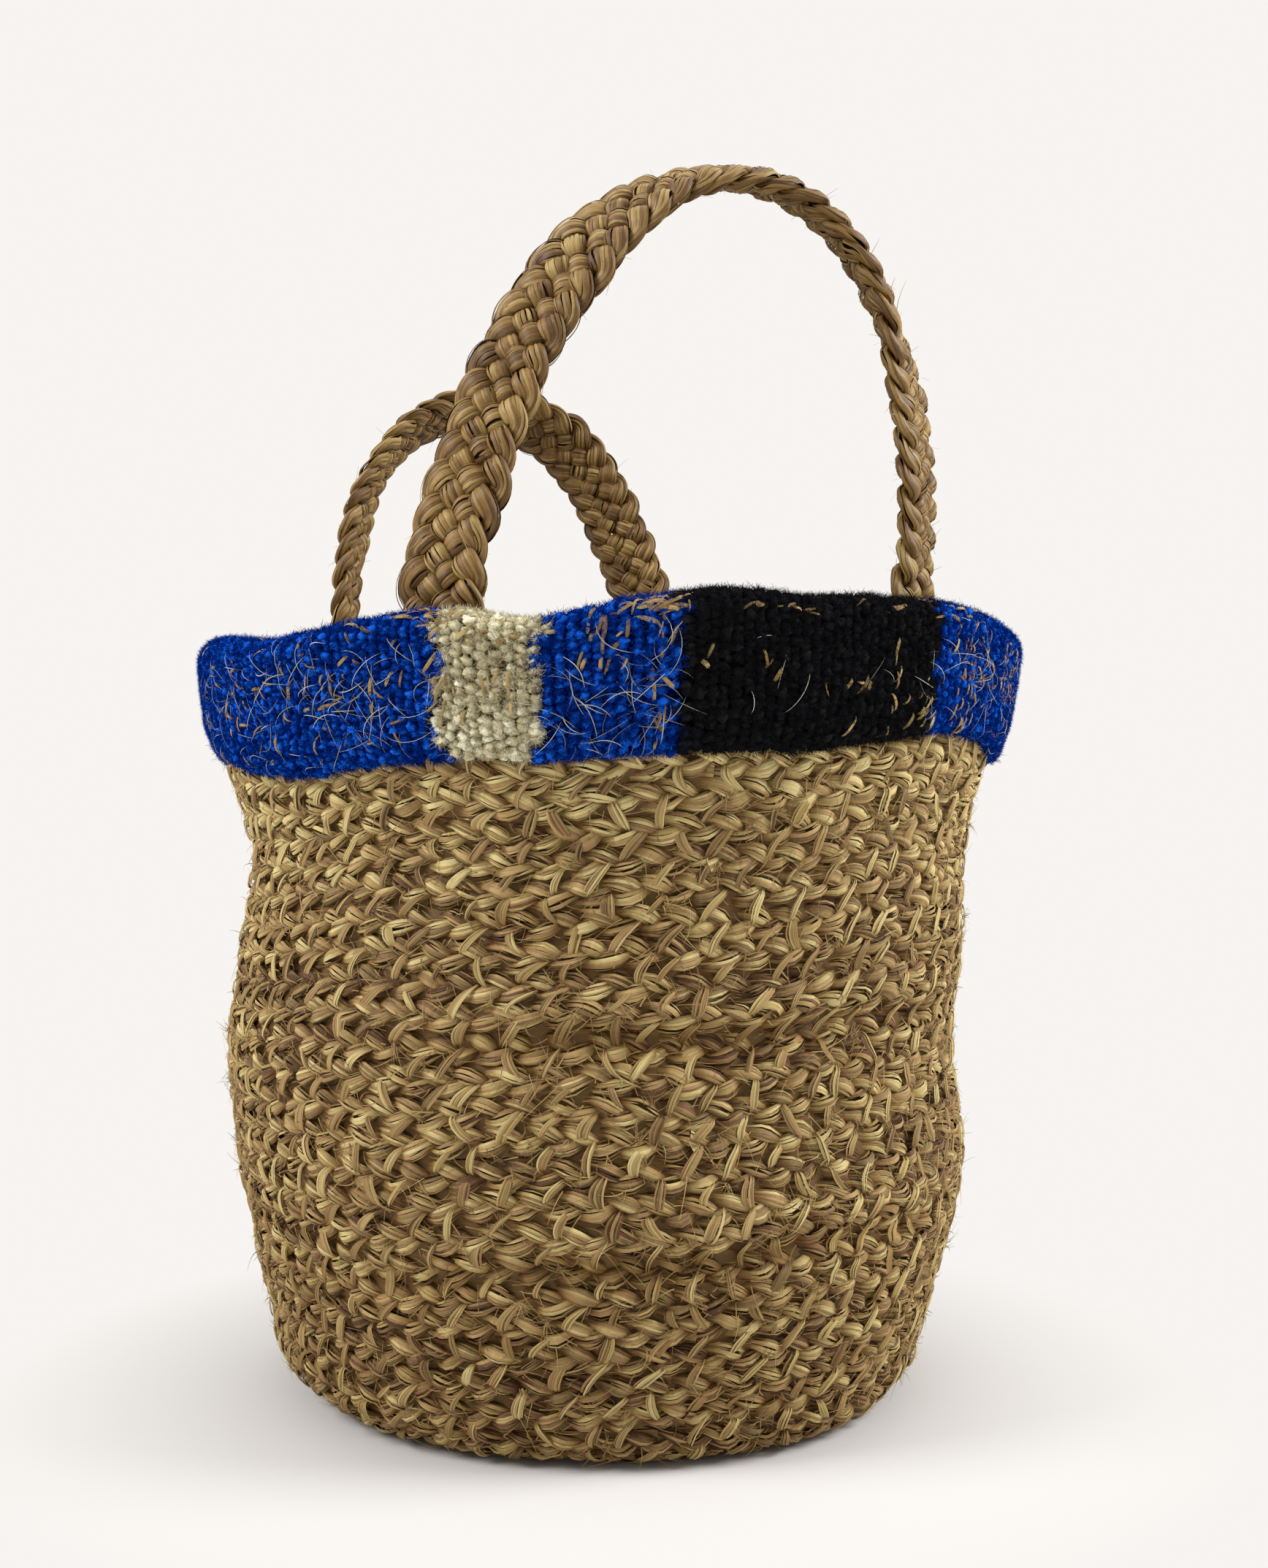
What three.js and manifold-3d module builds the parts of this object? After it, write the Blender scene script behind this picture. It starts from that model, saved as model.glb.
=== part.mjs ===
// A round shopping basket, 365 mm across and 490 mm tall over its handles.
// One long flat plait of dried grass is coiled from the middle of the base up to the rim and sewn to
// itself. A collar of thick wool in colour bands is worked over the rim, and two carrying handles,
// each a flat plait of five strands, are sewn inside it and swing at the rim.
// Millimetres, +Z up, origin on the ground under the middle of the base. The front handle is at -Y.
import * as THREE from "three";
import { mergeVertices } from "three/addons/utils/BufferGeometryUtils.js";
import Module from "manifold-3d";

const wasm = await Module();
wasm.setup();

// Clearance between pieces that lie against each other
const seatGap = 0.3;
// Straight steps in one turn of the wall
const roundSteps = 24;
const roundStep = (2 * Math.PI) / roundSteps;

// Base, wall and rim, given as the middle of the plait's thickness
const baseFlatRadius = 114;
const cornerRadius = 143.5;
const cornerHeight = 22;
const cornerPullOut = 16;
const cornerPullDown = 11.6;
const cornerPullIn = 3.4;
const footRadius = 151;
const footHeight = 52;
const bellyRadius = 158.5;
const bellyHeight = 120;
const waistRadius = 154.5;
const waistHeight = 212;
const collarRadius = 164;
const collarHeight = 268;
const rimRadius = 170;
const rimHeight = 321;

// The coiled plait
const plaitPitch = 11.7;
const plaitThickness = 8.4;
const plaitFlat = 5.2;
const startRadius = 5.6;
const turnsPerLength = 3;
const leastPlaitHeight = 1.5;

// The wool collar
const collarDrop = 56;
const collarThickness = 7.5;
const collarRoll = 4;
const collarEdge = 3;
const collarInnerEdge = 1;
// Least angle between a band's end and the nearest step inside it
const leastBandStep = 1;

// The five-strand handle plait
const strandCount = 5;
const columnPitch = 5.9;
const rowPitch = 5.65;
const strandHalfWidth = 3.6;
const strandHalfThickness = 2.3;
const weaveHeight = 2.5;
const edgeBulge = 0.25;

// Where along a handle its strap starts and ends turning, as shares of its length
const twistLeaves = 0.28;
const twistLevel = 0.55;
const twistReturns = 0.7;
const twistBack = 0.8;
const crownTwist = 18;

// Where the handles swing, and the ball-shaped room that their lower ends turn round
const hingeAboveRim = 12;
const ballRadius = 18.8;
const ballFacetLoss = 0.35;
const ballSides = 20;
const ballRings = 12;
const tongueHalfWidth = 11;
const tongueThickness = 6.6;
const tabHalfWidth = 17;
const tabThickness = 7.6;
const tabDepth = 58;
const tabScallop = 1.2;
const tongueArcSteps = 6;
const neckDrop = 14;
const neckRise = 4;

// The stitches over each handle foot
const stitchThickness = 2.6;
const stitchWidth = 6;
const stitchCorner = 1.5;
const stitchDrops = [31, 48];

// How the two legs leave the feet and how far the crown runs level
const handles = [
  {
    name: "front",
    angle: 0,
    footSpread: 35.9,
    rise: 157,
    apexShift: 20,
    lean: 0,
    leftLegIn: 16,
    leftLegUp: 75,
    leftCrown: 57,
    rightCrown: 52,
    rightLegOut: 4,
    rightLegUp: 94,
    rightTwist: 40,
  },
  {
    name: "back",
    angle: 190,
    footSpread: 32.9,
    rise: 138,
    apexShift: 3,
    lean: 8,
    leftLegIn: 15,
    leftLegUp: 75,
    leftCrown: 57,
    rightCrown: 51,
    rightLegOut: 1,
    rightLegUp: 92,
    rightTwist: 30,
  },
];

// Collar bands, each from its first angle to the next band's, counted round from the front handle
const collarBands = [
  { name: "cuff_blue_left", from: -147, colour: "blue" },
  { name: "cuff_white_front", from: -33.5, colour: "white" },
  { name: "cuff_blue_front", from: -21, colour: "blue" },
  { name: "cuff_black_front", from: -5.3, colour: "black" },
  { name: "cuff_blue_right", from: 32, colour: "blue" },
  { name: "cuff_white_back", from: 146.5, colour: "white" },
  { name: "cuff_blue_back", from: 159, colour: "blue" },
  { name: "cuff_black_back", from: 174.7, colour: "black" },
];

const straw = { color: 0xa8854f, roughness: 0.7, metalness: 0 };
const strawPale = { color: 0xb8965c, roughness: 0.6, metalness: 0 };
const wool = {
  blue: { color: 0x0b3ec2, roughness: 0.95, metalness: 0 },
  white: { color: 0xe6dcc0, roughness: 0.95, metalness: 0 },
  black: { color: 0x141414, roughness: 0.95, metalness: 0 },
};

const basket = new THREE.Group();
basket.name = "basket";

function addPiece(name, geometry, finish, parent = basket) {
  const mesh = new THREE.Mesh(geometry, new THREE.MeshStandardMaterial(finish));
  mesh.name = name;
  parent.add(mesh);
  return mesh;
}

// A closed outline pushed straight out in equal steps, with each corner then moved by place(x, y, step).
// x and y are the outline's own, and step counts from 0 at the first face to steps at the last.
function sweep(outline, steps, place) {
  const geometry = new THREE.ExtrudeGeometry(new THREE.Shape(outline), {
    depth: steps,
    steps,
    bevelEnabled: false,
  });
  const corners = geometry.getAttribute("position");
  for (let i = 0; i < corners.count; i++) {
    const p = place(corners.getX(i), corners.getY(i), Math.round(corners.getZ(i)));
    corners.setXYZ(i, p.x, p.y, p.z);
  }
  geometry.computeVertexNormals();
  return geometry;
}

function points(pairs) {
  return pairs.map(([x, y]) => new THREE.Vector2(x, y));
}

function toSolid(geometry) {
  const bare = geometry.index ? geometry.toNonIndexed() : geometry.clone();
  bare.deleteAttribute("normal");
  bare.deleteAttribute("uv");
  const merged = mergeVertices(bare, 1e-4);
  return new wasm.Manifold(
    new wasm.Mesh({
      numProp: 3,
      vertProperties: merged.attributes.position.array,
      triVerts: new Uint32Array(merged.index.array),
    }),
  );
}

function toGeometry(solid) {
  const mesh = solid.getMesh();
  const geometry = new THREE.BufferGeometry();
  geometry.setAttribute("position", new THREE.BufferAttribute(mesh.vertProperties, 3));
  geometry.setIndex(new THREE.BufferAttribute(mesh.triVerts, 1));
  const flat = geometry.toNonIndexed();
  flat.computeVertexNormals();
  return flat;
}

// Half of the basket's section, from the middle of the base out along the ground, round the corner and
// up the wall: radius in x and height in y.
const halfPlait = plaitThickness / 2;
const profile = new THREE.Path();
profile.moveTo(0, halfPlait);
profile.lineTo(baseFlatRadius, halfPlait);
profile.bezierCurveTo(
  baseFlatRadius + cornerPullOut,
  halfPlait,
  cornerRadius - cornerPullIn,
  cornerHeight - cornerPullDown,
  cornerRadius,
  cornerHeight,
);
profile.splineThru(
  points([
    [footRadius, footHeight],
    [bellyRadius, bellyHeight],
    [waistRadius, waistHeight],
    [collarRadius, collarHeight],
    [rimRadius, rimHeight],
  ]),
);
const profileLength = profile.getLength();

// A point of the wall: angle round the basket from the front, distance along the section from the
// middle of the base, and height off the middle of the plait, outwards.
function onWall(angle, along, off) {
  const share = THREE.MathUtils.clamp(along / profileLength, 0, 1);
  const middle = profile.getPointAt(share);
  const run = profile.getTangentAt(share);
  const beyond = along - share * profileLength;
  const radius = middle.x + run.x * beyond + off * run.y;
  const height = middle.y + run.y * beyond - off * run.x;
  return new THREE.Vector3(radius * Math.sin(angle), -radius * Math.cos(angle), height);
}

// Coil: the plait in lengths of a few turns, each a helix that the next one carries on
const halfCourse = (plaitPitch - seatGap) / 2;
const firstAlong = startRadius + seatGap + halfCourse;
const coilTurns = (profileLength - leastPlaitHeight + halfCourse - firstAlong) / plaitPitch;
const halfFlat = plaitFlat / 2;
const baseCourse = points([
  [-halfCourse, 0],
  [-halfFlat, -halfPlait],
  [halfFlat, -halfPlait],
  [halfCourse, 0],
  [halfFlat, halfPlait],
  [-halfFlat, halfPlait],
]);
const wallCourse = points([
  [-halfCourse, 0],
  [0, -halfPlait],
  [halfCourse, 0],
  [0, halfPlait],
]);

// The plait runs round anticlockwise seen from above. Its last turn thins out to end level at the rim.
function coilLength(name, firstTurn, lastTurn, course) {
  const firstStep = Math.round(firstTurn * roundSteps);
  const lastStep = Math.round(lastTurn * roundSteps);
  const count = lastStep - firstStep;
  const geometry = sweep(course, count, (across, off, step) => {
    const turn = (firstStep + step) / roundSteps;
    const middle = firstAlong + plaitPitch * turn;
    const radius = -onWall(0, middle, 0).y;
    const trim = step === 0 ? seatGap / 2 : step === count ? -seatGap / 2 : 0;
    const angle = 2 * Math.PI * turn + trim / radius;
    const low = middle - halfCourse;
    const fit = Math.min(1, (profileLength - low) / (2 * halfCourse));
    return onWall(angle, low + (across + halfCourse) * fit, off);
  });
  addPiece(name, geometry, straw);
}

// The plait's first end is curled up tight, and the coil carries on round it
function coilStart() {
  const outline = [];
  for (let step = 0; step <= roundSteps; step++) {
    const radius = startRadius + (plaitPitch * step) / roundSteps;
    const trim = step === roundSteps ? seatGap / radius : 0;
    const angle = (2 * Math.PI * step) / roundSteps - trim;
    outline.push(new THREE.Vector2(radius * Math.sin(angle), -radius * Math.cos(angle)));
  }
  return new THREE.ExtrudeGeometry(new THREE.Shape(outline), {
    depth: plaitThickness,
    steps: 1,
    bevelEnabled: false,
  });
}

addPiece("coil_start", coilStart(), straw);

const baseTurns = Math.round((baseFlatRadius - firstAlong) / plaitPitch);
const lengthEnds = [];
for (let turn = 0; turn < baseTurns; turn += turnsPerLength) {
  lengthEnds.push(turn);
}
const baseLengths = lengthEnds.length;
for (let turn = baseTurns; turn < coilTurns - 1; turn += turnsPerLength) {
  lengthEnds.push(turn);
}
lengthEnds.push(coilTurns);
for (let i = 0; i + 1 < lengthEnds.length; i++) {
  const onBase = i < baseLengths;
  const name = onBase ? `base_plait_${i + 1}` : `wall_plait_${i + 1 - baseLengths}`;
  coilLength(name, lengthEnds[i], lengthEnds[i + 1], onBase ? baseCourse : wallCourse);
}

// Collar: an outer flap that hangs from a roll over the rim, in bands that meet side by side
const collarInner = halfPlait + seatGap;
const collarOuter = collarInner + collarThickness;
const collarSection = points([
  [-collarDrop, collarInner],
  [seatGap, collarInner],
  [seatGap, -halfPlait],
  [collarRoll - collarInnerEdge, -halfPlait],
  [collarRoll, -halfPlait + collarEdge],
  [collarRoll, collarOuter - collarEdge],
  [0, collarOuter],
  [-collarDrop + collarEdge, collarOuter],
  [-collarDrop, collarOuter - collarEdge],
]);

function collarBand(name, from, to, finish) {
  const stepAngle = THREE.MathUtils.radToDeg(roundStep);
  const trim = THREE.MathUtils.radToDeg(seatGap / 2 / rimRadius);
  const firstInside = Math.ceil((from + leastBandStep) / stepAngle);
  const stops = [from + trim];
  for (let k = firstInside; k * stepAngle < to - leastBandStep; k++) {
    stops.push(k * stepAngle);
  }
  stops.push(to - trim);
  const geometry = sweep(collarSection, stops.length - 1, (across, off, step) =>
    onWall(THREE.MathUtils.degToRad(stops[step]), profileLength + across, off),
  );
  addPiece(name, geometry, finish);
}

collarBands.forEach((band, i) => {
  const next = collarBands[(i + 1) % collarBands.length].from;
  const to = next > band.from ? next : next + 360;
  collarBand(band.name, band.from, to, wool[band.colour]);
});

// Handles
const rimRun = profile.getTangentAt(1);
const stitchHalfSpan = tabHalfWidth + seatGap + stitchThickness;

// How far inside the wall's round a flat piece must lie to clear the straight steps that it spans
function flatSeat(angle, halfWidth) {
  const radius = rimRadius - halfPlait;
  const apothem = radius * Math.cos(roundStep / 2);
  const nearest = Math.floor(angle / roundStep);
  let seat = radius;
  for (let k = nearest - 2; k <= nearest + 2; k++) {
    const away = Math.abs((k + 0.5) * roundStep - angle);
    seat = Math.min(seat, (apothem - halfWidth * Math.sin(away)) / Math.cos(away));
  }
  return radius - seat;
}

// The arch's middle line in its own upright plane, from the left foot over the top to the right one
function archCurve(handle, halfSpan) {
  const left = new THREE.CubicBezierCurve3(
    new THREE.Vector3(-halfSpan, 0, 0),
    new THREE.Vector3(-halfSpan + handle.leftLegIn, 0, handle.leftLegUp),
    new THREE.Vector3(handle.apexShift - handle.leftCrown, 0, handle.rise),
    new THREE.Vector3(handle.apexShift, 0, handle.rise),
  );
  const right = new THREE.CubicBezierCurve3(
    new THREE.Vector3(handle.apexShift, 0, handle.rise),
    new THREE.Vector3(handle.apexShift + handle.rightCrown, 0, handle.rise),
    new THREE.Vector3(halfSpan + handle.rightLegOut, 0, handle.rightLegUp),
    new THREE.Vector3(halfSpan, 0, 0),
  );
  const path = new THREE.CurvePath();
  path.add(left);
  path.add(right);
  return path;
}

// The strap lies against the wall at its left foot. It turns to face up on the way to the top, and turns
// part of the way back above the right foot.
function strapTwist(strap, share) {
  const leaving = 1 - THREE.MathUtils.smoothstep(share, twistLeaves, twistLevel);
  const arriving = THREE.MathUtils.smoothstep(share, twistReturns, twistBack);
  const left = (strap.leftTwist - strap.crownTwist) * leaving;
  return strap.crownTwist + left + (strap.rightTwist - strap.crownTwist) * arriving;
}

// A point of the strap: distance along it, across it and off its face, in the arch's own plane
function onStrap(strap, along, across, off) {
  const share = THREE.MathUtils.clamp(along / strap.length, 0, 1);
  const middle = strap.path.getPointAt(share);
  const run = strap.path.getTangentAt(share);
  const twist = strapTwist(strap, share);
  const outward = new THREE.Vector3(-run.z, 0, run.x);
  const face = outward.multiplyScalar(Math.cos(twist));
  face.add(new THREE.Vector3(0, -Math.sin(twist), 0));
  const width = new THREE.Vector3().crossVectors(face, run);
  return middle.addScaledVector(width, across).addScaledVector(face, off);
}

// The middle of one strand at each row: column, and height off the strap's middle. A strand goes across
// the strap one column a row, over and under the strands it meets, and turns at each edge.
function strandStops(strand, rows) {
  const lastColumn = strandCount - 1;
  const round = 2 * strandCount;
  const stops = [];
  for (let row = 0; row <= rows; row++) {
    const place = (row + 2 * strand) % round;
    const rightward = place < strandCount;
    const atEdge = place % strandCount === lastColumn;
    const gap = rightward ? place : round - 2 - place;
    const over = (gap % 2 === 0) === rightward;
    const edge = rightward ? lastColumn + edgeBulge : -edgeBulge;
    stops.push({
      column: atEdge ? edge : gap + 0.5,
      height: atEdge ? 0 : over ? weaveHeight : -weaveHeight,
    });
  }
  return stops;
}

const strandSection = points([
  [-strandHalfWidth, 0],
  [0, -strandHalfThickness],
  [strandHalfWidth, 0],
  [0, strandHalfThickness],
]);

function strandGeometry(strap, strand, room) {
  const rows = Math.floor(strap.length / rowPitch);
  const stops = strandStops(strand, rows);
  const flat = stops.map(
    (stop, row) =>
      new THREE.Vector2((stop.column - (strandCount - 1) / 2) * columnPitch, row * rowPitch),
  );
  const geometry = sweep(strandSection, rows, (side, off, row) => {
    const before = flat[Math.max(row - 1, 0)];
    const after = flat[Math.min(row + 1, rows)];
    const run = after.clone().sub(before).normalize();
    const across = flat[row].x + side * run.y;
    const along = flat[row].y - side * run.x;
    return onStrap(strap, along, across, stops[row].height + off);
  });
  // A turn at the strap's edge may graze the ball: what it parts off there is cut away
  const pieces = toSolid(geometry).subtract(room).decompose();
  return toGeometry(pieces.reduce((a, b) => (a.volume() > b.volume() ? a : b)));
}

function placedBall(radius, centre) {
  const ball = new THREE.SphereGeometry(radius, ballSides, ballRings);
  ball.translate(centre.x, centre.y, centre.z);
  return toSolid(ball);
}

// The strap's end inside the basket: a tab flat against the wall, and a narrow tongue up to the ball
function footOutline() {
  const outline = new THREE.Shape();
  outline.moveTo(-tabHalfWidth + tabScallop, -tabDepth);
  outline.lineTo(tabHalfWidth - tabScallop, -tabDepth);
  const scallops = Math.floor((tabDepth - neckDrop) / (2 * rowPitch));
  for (let i = 0; i < scallops; i++) {
    const bottom = -tabDepth + 2 * i * rowPitch;
    outline.lineTo(tabHalfWidth, bottom + rowPitch);
    outline.lineTo(tabHalfWidth - tabScallop, bottom + 2 * rowPitch);
  }
  const reach = ballRadius - ballFacetLoss - seatGap;
  const tongueRadius = Math.sqrt(reach ** 2 - (tongueThickness / 2) ** 2);
  const shoulder = Math.asin(tongueHalfWidth / tongueRadius);
  outline.lineTo(tongueHalfWidth, -neckDrop + neckRise);
  outline.absarc(0, 0, tongueRadius, Math.PI / 2 - shoulder, Math.PI / 2 + shoulder, false);
  outline.lineTo(-tongueHalfWidth, -neckDrop + neckRise);
  for (let i = scallops; i > 0; i--) {
    const bottom = -tabDepth + 2 * i * rowPitch;
    outline.lineTo(-tabHalfWidth + tabScallop, bottom);
    outline.lineTo(-tabHalfWidth, bottom - rowPitch);
  }
  return outline.getPoints(tongueArcSteps);
}

// A point of a foot: across the strap's end, up from the hinge along the wall's slope, and off outwards
function onFoot(hinge, across, up, off) {
  const outward = -hinge.y + up * rimRun.x + off * rimRun.y;
  return new THREE.Vector3(across, -outward, hinge.z + up * rimRun.y - off * rimRun.x);
}

// A wide staple of grass over the tab, its two ends against the wall
function stitchOutline() {
  const inner = tabHalfWidth + seatGap;
  const outer = inner + stitchThickness;
  const wallSide = -(tabThickness / 2);
  const tabSide = tabThickness / 2 + seatGap;
  return points([
    [-outer, wallSide],
    [-inner, wallSide],
    [-inner, tabSide],
    [inner, tabSide],
    [inner, wallSide],
    [outer, wallSide],
    [outer, tabSide + stitchThickness - stitchCorner],
    [outer - stitchCorner, tabSide + stitchThickness],
    [-outer + stitchCorner, tabSide + stitchThickness],
    [-outer, tabSide + stitchThickness - stitchCorner],
  ]);
}

// The tab lies against the wall, and its tongue lies on the hinge
function addFoot(name, angle, hinge, tabShift) {
  const foot = new THREE.Group();
  foot.rotation.z = angle;
  basket.add(foot);
  const tab = sweep(footOutline(), 1, (across, up, step) => {
    const onTongue = up > -neckDrop;
    const thickness = onTongue ? tongueThickness : tabThickness;
    const off = (step - 0.5) * thickness + (onTongue ? 0 : tabShift);
    return onFoot(hinge, across, up, off);
  });
  addPiece(`${name}_foot`, tab, strawPale, foot);
  stitchDrops.forEach((drop, i) => {
    const stitch = sweep(stitchOutline(), 1, (across, off, step) =>
      onFoot(hinge, across, -drop + (step - 0.5) * stitchWidth, tabShift - off),
    );
    addPiece(`${name}_stitch_${i + 1}`, stitch, strawPale, foot);
  });
}

for (const handle of handles) {
  const swing = new THREE.Group();
  swing.rotation.z = THREE.MathUtils.degToRad(handle.angle);
  basket.add(swing);
  const spread = THREE.MathUtils.degToRad(handle.footSpread);
  const seats = [-spread, spread].map((side) =>
    flatSeat(swing.rotation.z + side, stitchHalfSpan),
  );
  const deepest = Math.max(...seats);
  const hingeOff = -(halfPlait + deepest + seatGap + tabThickness / 2);
  const hinge = onWall(0, profileLength + hingeAboveRim, hingeOff);
  const halfSpan = -hinge.y * Math.sin(spread);
  const path = archCurve(handle, halfSpan);
  const strap = {
    path,
    length: path.getLength(),
    leftTwist: Math.PI / 2 - spread,
    crownTwist: THREE.MathUtils.degToRad(crownTwist),
    rightTwist: THREE.MathUtils.degToRad(handle.rightTwist),
  };
  const arch = new THREE.Group();
  arch.position.set(0, hinge.y * Math.cos(spread), hinge.z);
  arch.rotation.x = THREE.MathUtils.degToRad(handle.lean);
  swing.add(arch);
  const room = [-halfSpan, halfSpan]
    .map((side) => placedBall(ballRadius, new THREE.Vector3(side, 0, 0)))
    .reduce((a, b) => a.add(b));
  for (let strand = 0; strand < strandCount; strand++) {
    const geometry = strandGeometry(strap, strand, room);
    addPiece(`${handle.name}_handle_strand_${strand + 1}`, geometry, strawPale, arch);
  }
  addFoot(`${handle.name}_left`, swing.rotation.z - spread, hinge, deepest - seats[0]);
  addFoot(`${handle.name}_right`, swing.rotation.z + spread, hinge, deepest - seats[1]);
}

export default basket;
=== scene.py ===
import math

import bpy
import numpy as np
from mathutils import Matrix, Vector


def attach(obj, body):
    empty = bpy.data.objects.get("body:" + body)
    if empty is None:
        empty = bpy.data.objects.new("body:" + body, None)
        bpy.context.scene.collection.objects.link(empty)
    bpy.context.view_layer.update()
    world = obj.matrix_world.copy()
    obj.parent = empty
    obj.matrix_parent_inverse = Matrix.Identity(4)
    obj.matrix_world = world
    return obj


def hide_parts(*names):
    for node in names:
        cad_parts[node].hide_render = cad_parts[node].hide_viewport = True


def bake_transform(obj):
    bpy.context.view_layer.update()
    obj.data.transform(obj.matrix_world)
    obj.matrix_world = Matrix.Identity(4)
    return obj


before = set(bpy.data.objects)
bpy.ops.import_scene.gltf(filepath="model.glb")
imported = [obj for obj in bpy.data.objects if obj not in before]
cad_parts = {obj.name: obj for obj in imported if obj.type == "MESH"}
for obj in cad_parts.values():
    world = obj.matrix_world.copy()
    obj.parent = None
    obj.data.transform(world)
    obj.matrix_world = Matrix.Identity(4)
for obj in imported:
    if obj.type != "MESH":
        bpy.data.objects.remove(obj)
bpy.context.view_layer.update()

# Camera: held level at about half the basket's height, three quarters of a metre away and a little to
# the left of the front handle.
PHOTO_WIDTH, PHOTO_HEIGHT = 1736, 2147
FOCAL_PIXELS = 2334
HORIZON_ROW = 1181
AXIS_COLUMN = 830
CAMERA_DISTANCE, CAMERA_HEIGHT = 0.775, 0.229
CAMERA_AZIMUTH = math.radians(-13)
SENSOR = 36

camera = bpy.data.objects.new("camera", bpy.data.cameras.new("camera"))
bpy.context.scene.collection.objects.link(camera)
camera.data.sensor_width = SENSOR
camera.data.lens = SENSOR * FOCAL_PIXELS / PHOTO_HEIGHT
camera.data.shift_y = (HORIZON_ROW - PHOTO_HEIGHT / 2) / PHOTO_HEIGHT
camera.data.clip_start = 0.01
camera.location = (
    CAMERA_DISTANCE * math.sin(CAMERA_AZIMUTH),
    -CAMERA_DISTANCE * math.cos(CAMERA_AZIMUTH),
    CAMERA_HEIGHT,
)
aim_aside = math.atan((PHOTO_WIDTH / 2 - AXIS_COLUMN) / FOCAL_PIXELS)
camera.rotation_euler = (math.pi / 2, 0, CAMERA_AZIMUTH - aim_aside)
bpy.context.scene.camera = camera
bpy.context.scene.view_settings.view_transform = "Standard"


# The coil: one long flat plait of three bundles of dried grass, wound from the middle of the base up to
# the rim, each turn sewn to the one before with split grass. Each blade is a thin ribbon. Its place on
# the bake map says its tone and how deep it lies in the work, which sets its painted shade.
BLADE_TONES = 64
MAP = "OFBake"
GRASS_TONES = [
    (0, (0.079, 0.036, 0.013)), (0.14, (0.175, 0.087, 0.038)), (0.28, (0.204, 0.152, 0.056)),
    (0.42, (0.305, 0.173, 0.079)), (0.56, (0.336, 0.243, 0.081)), (0.7, (0.422, 0.268, 0.122)),
    (0.84, (0.442, 0.337, 0.126)), (1, (0.595, 0.484, 0.221)),
]
# Painted shade: blades deep in the work are darker, and painted light makes the outermost ones paler.
PAINTED_DEPTH_SHADE = [(0, (0.34, 0.22, 0.1)), (0.45, (0.78, 0.7, 0.6)), (0.8, (1, 1, 1)), (1, (1.15, 1.15, 1.12))]
HALF_PLAIT = 0.0042
BASE_FLAT_RADIUS = 0.114
CORNER = np.array([[BASE_FLAT_RADIUS, HALF_PLAIT], [0.13, HALF_PLAIT], [0.1401, 0.0104], [0.1435, 0.022]])
WALL_KNOTS = np.array(
    [[0.1435, 0.022], [0.151, 0.052], [0.1585, 0.12], [0.1545, 0.212], [0.164, 0.268], [0.17, 0.321]]
)
RIM_HEIGHT = 0.321
SETTLED_TO, SETTLED_FADE = 0.41, 0.07
SLACK_FROM, SLACK_FADE = 0.06, 0.09
SLACK_HEIGHTS = [
    0, 0.009, 0.021, 0.041, 0.06, 0.08, 0.099, 0.119, 0.138, 0.158, 0.177, 0.197, 0.216, 0.236, 0.255, 0.275,
    RIM_HEIGHT,
]
SLACK = [
    0.0015, -0.002, -0.0042, -0.0042, -0.002, -0.0005, 0.001, -0.0005, -0.0014, -0.0008, -0.0002, 0.0008,
    -0.0014, -0.0043, -0.0038, -0.0006, 0,
]
LEAN = [
    -0.001, -0.0018, -0.0026, -0.001, -0.001, -0.0005, -0.0019, -0.004, -0.0064, -0.0071, -0.0037, -0.001,
    0.0011, 0.0031, 0.002, 0.0015, 0.0015,
]
FOOT_TURNS = [-180, -103, -73, -53, -33, -13, 2, 22, 37, 52, 77, 180]
FOOT_PULL = [0, -0.006, -0.007, -0.003, 0, 0, 0.002, 0.003, 0, -0.006, -0.006, 0]
FOOT_HEIGHT = 0.02
# Each crease: its height, its middle and reach in degrees, its rise for each degree, and its depth.
CREASES = [
    (0.165, 5, 42, 0.00008, 0.0052), (0.082, 0, 42, 0.0002, 0.0048), (0.206, -20, 16, -0.0003, 0.0028),
    (0.128, 150, 50, 0.0001, 0.003), (0.19, -140, 40, -0.0001, 0.003),
]
CREASE_HALF = 0.0056
RIM_ANGLES = [-180, -140, -110, -90, -75, -60, -40, -31, -22, -12, 0, 10, 20, 35, 55, 75, 100, 140, 180]
RIM_RISE = [
    0, -0.002, -0.003, -0.004, -0.0075, -0.01, -0.0062, -0.0048, -0.0084, -0.004, -0.0005, -0.001, 0.0028,
    0.0045, 0.0045, 0.0035, 0.002, 0.001, 0,
]
PLAIT_PITCH = 0.0117
SEAT_GAP = 0.0003
START_RADIUS = 0.0056
HALF_COURSE = (PLAIT_PITCH - SEAT_GAP) / 2
FIRST_ALONG = START_RADIUS + SEAT_GAP + HALF_COURSE
LEAST_PLAIT = 0.0015
FIRST_TURN = -0.9
BASE_TURNS = 9
TURNS_PER_LENGTH = 3
PLAIT_PERIOD = 0.043
STATIONS_PER_PERIOD = 15
BUNDLE_WIDE, BUNDLE_THICK = 0.0027, 0.0018
BUNDLE_SWING, BUNDLE_DEPTH = 0.0036, 0.0021
BUNDLE_BLADES = {"blades": 13, "blade_half": 0.00064, "turn_per_mm": 0.03, "runs": (14, 46), "square": 0.8}
CORE_WIDE, CORE_THICK = 1.12, 0.0009
PLAIT_SHADE_FROM, PLAIT_SHADE_RANGE = 0.0004, 0.0036
# Painted shade and light by height: darker shade levels near the ground, paler shade levels and tones near
# the rim.
PAINTED_LIGHT_HEIGHTS, PAINTED_LIGHT_SHADES, PAINTED_LIGHT_TONES = [0, 0.14, 0.2, 0.27], [-0.25, 0, 0, 0.15], [0, 0, 0, 0.22]
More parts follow.
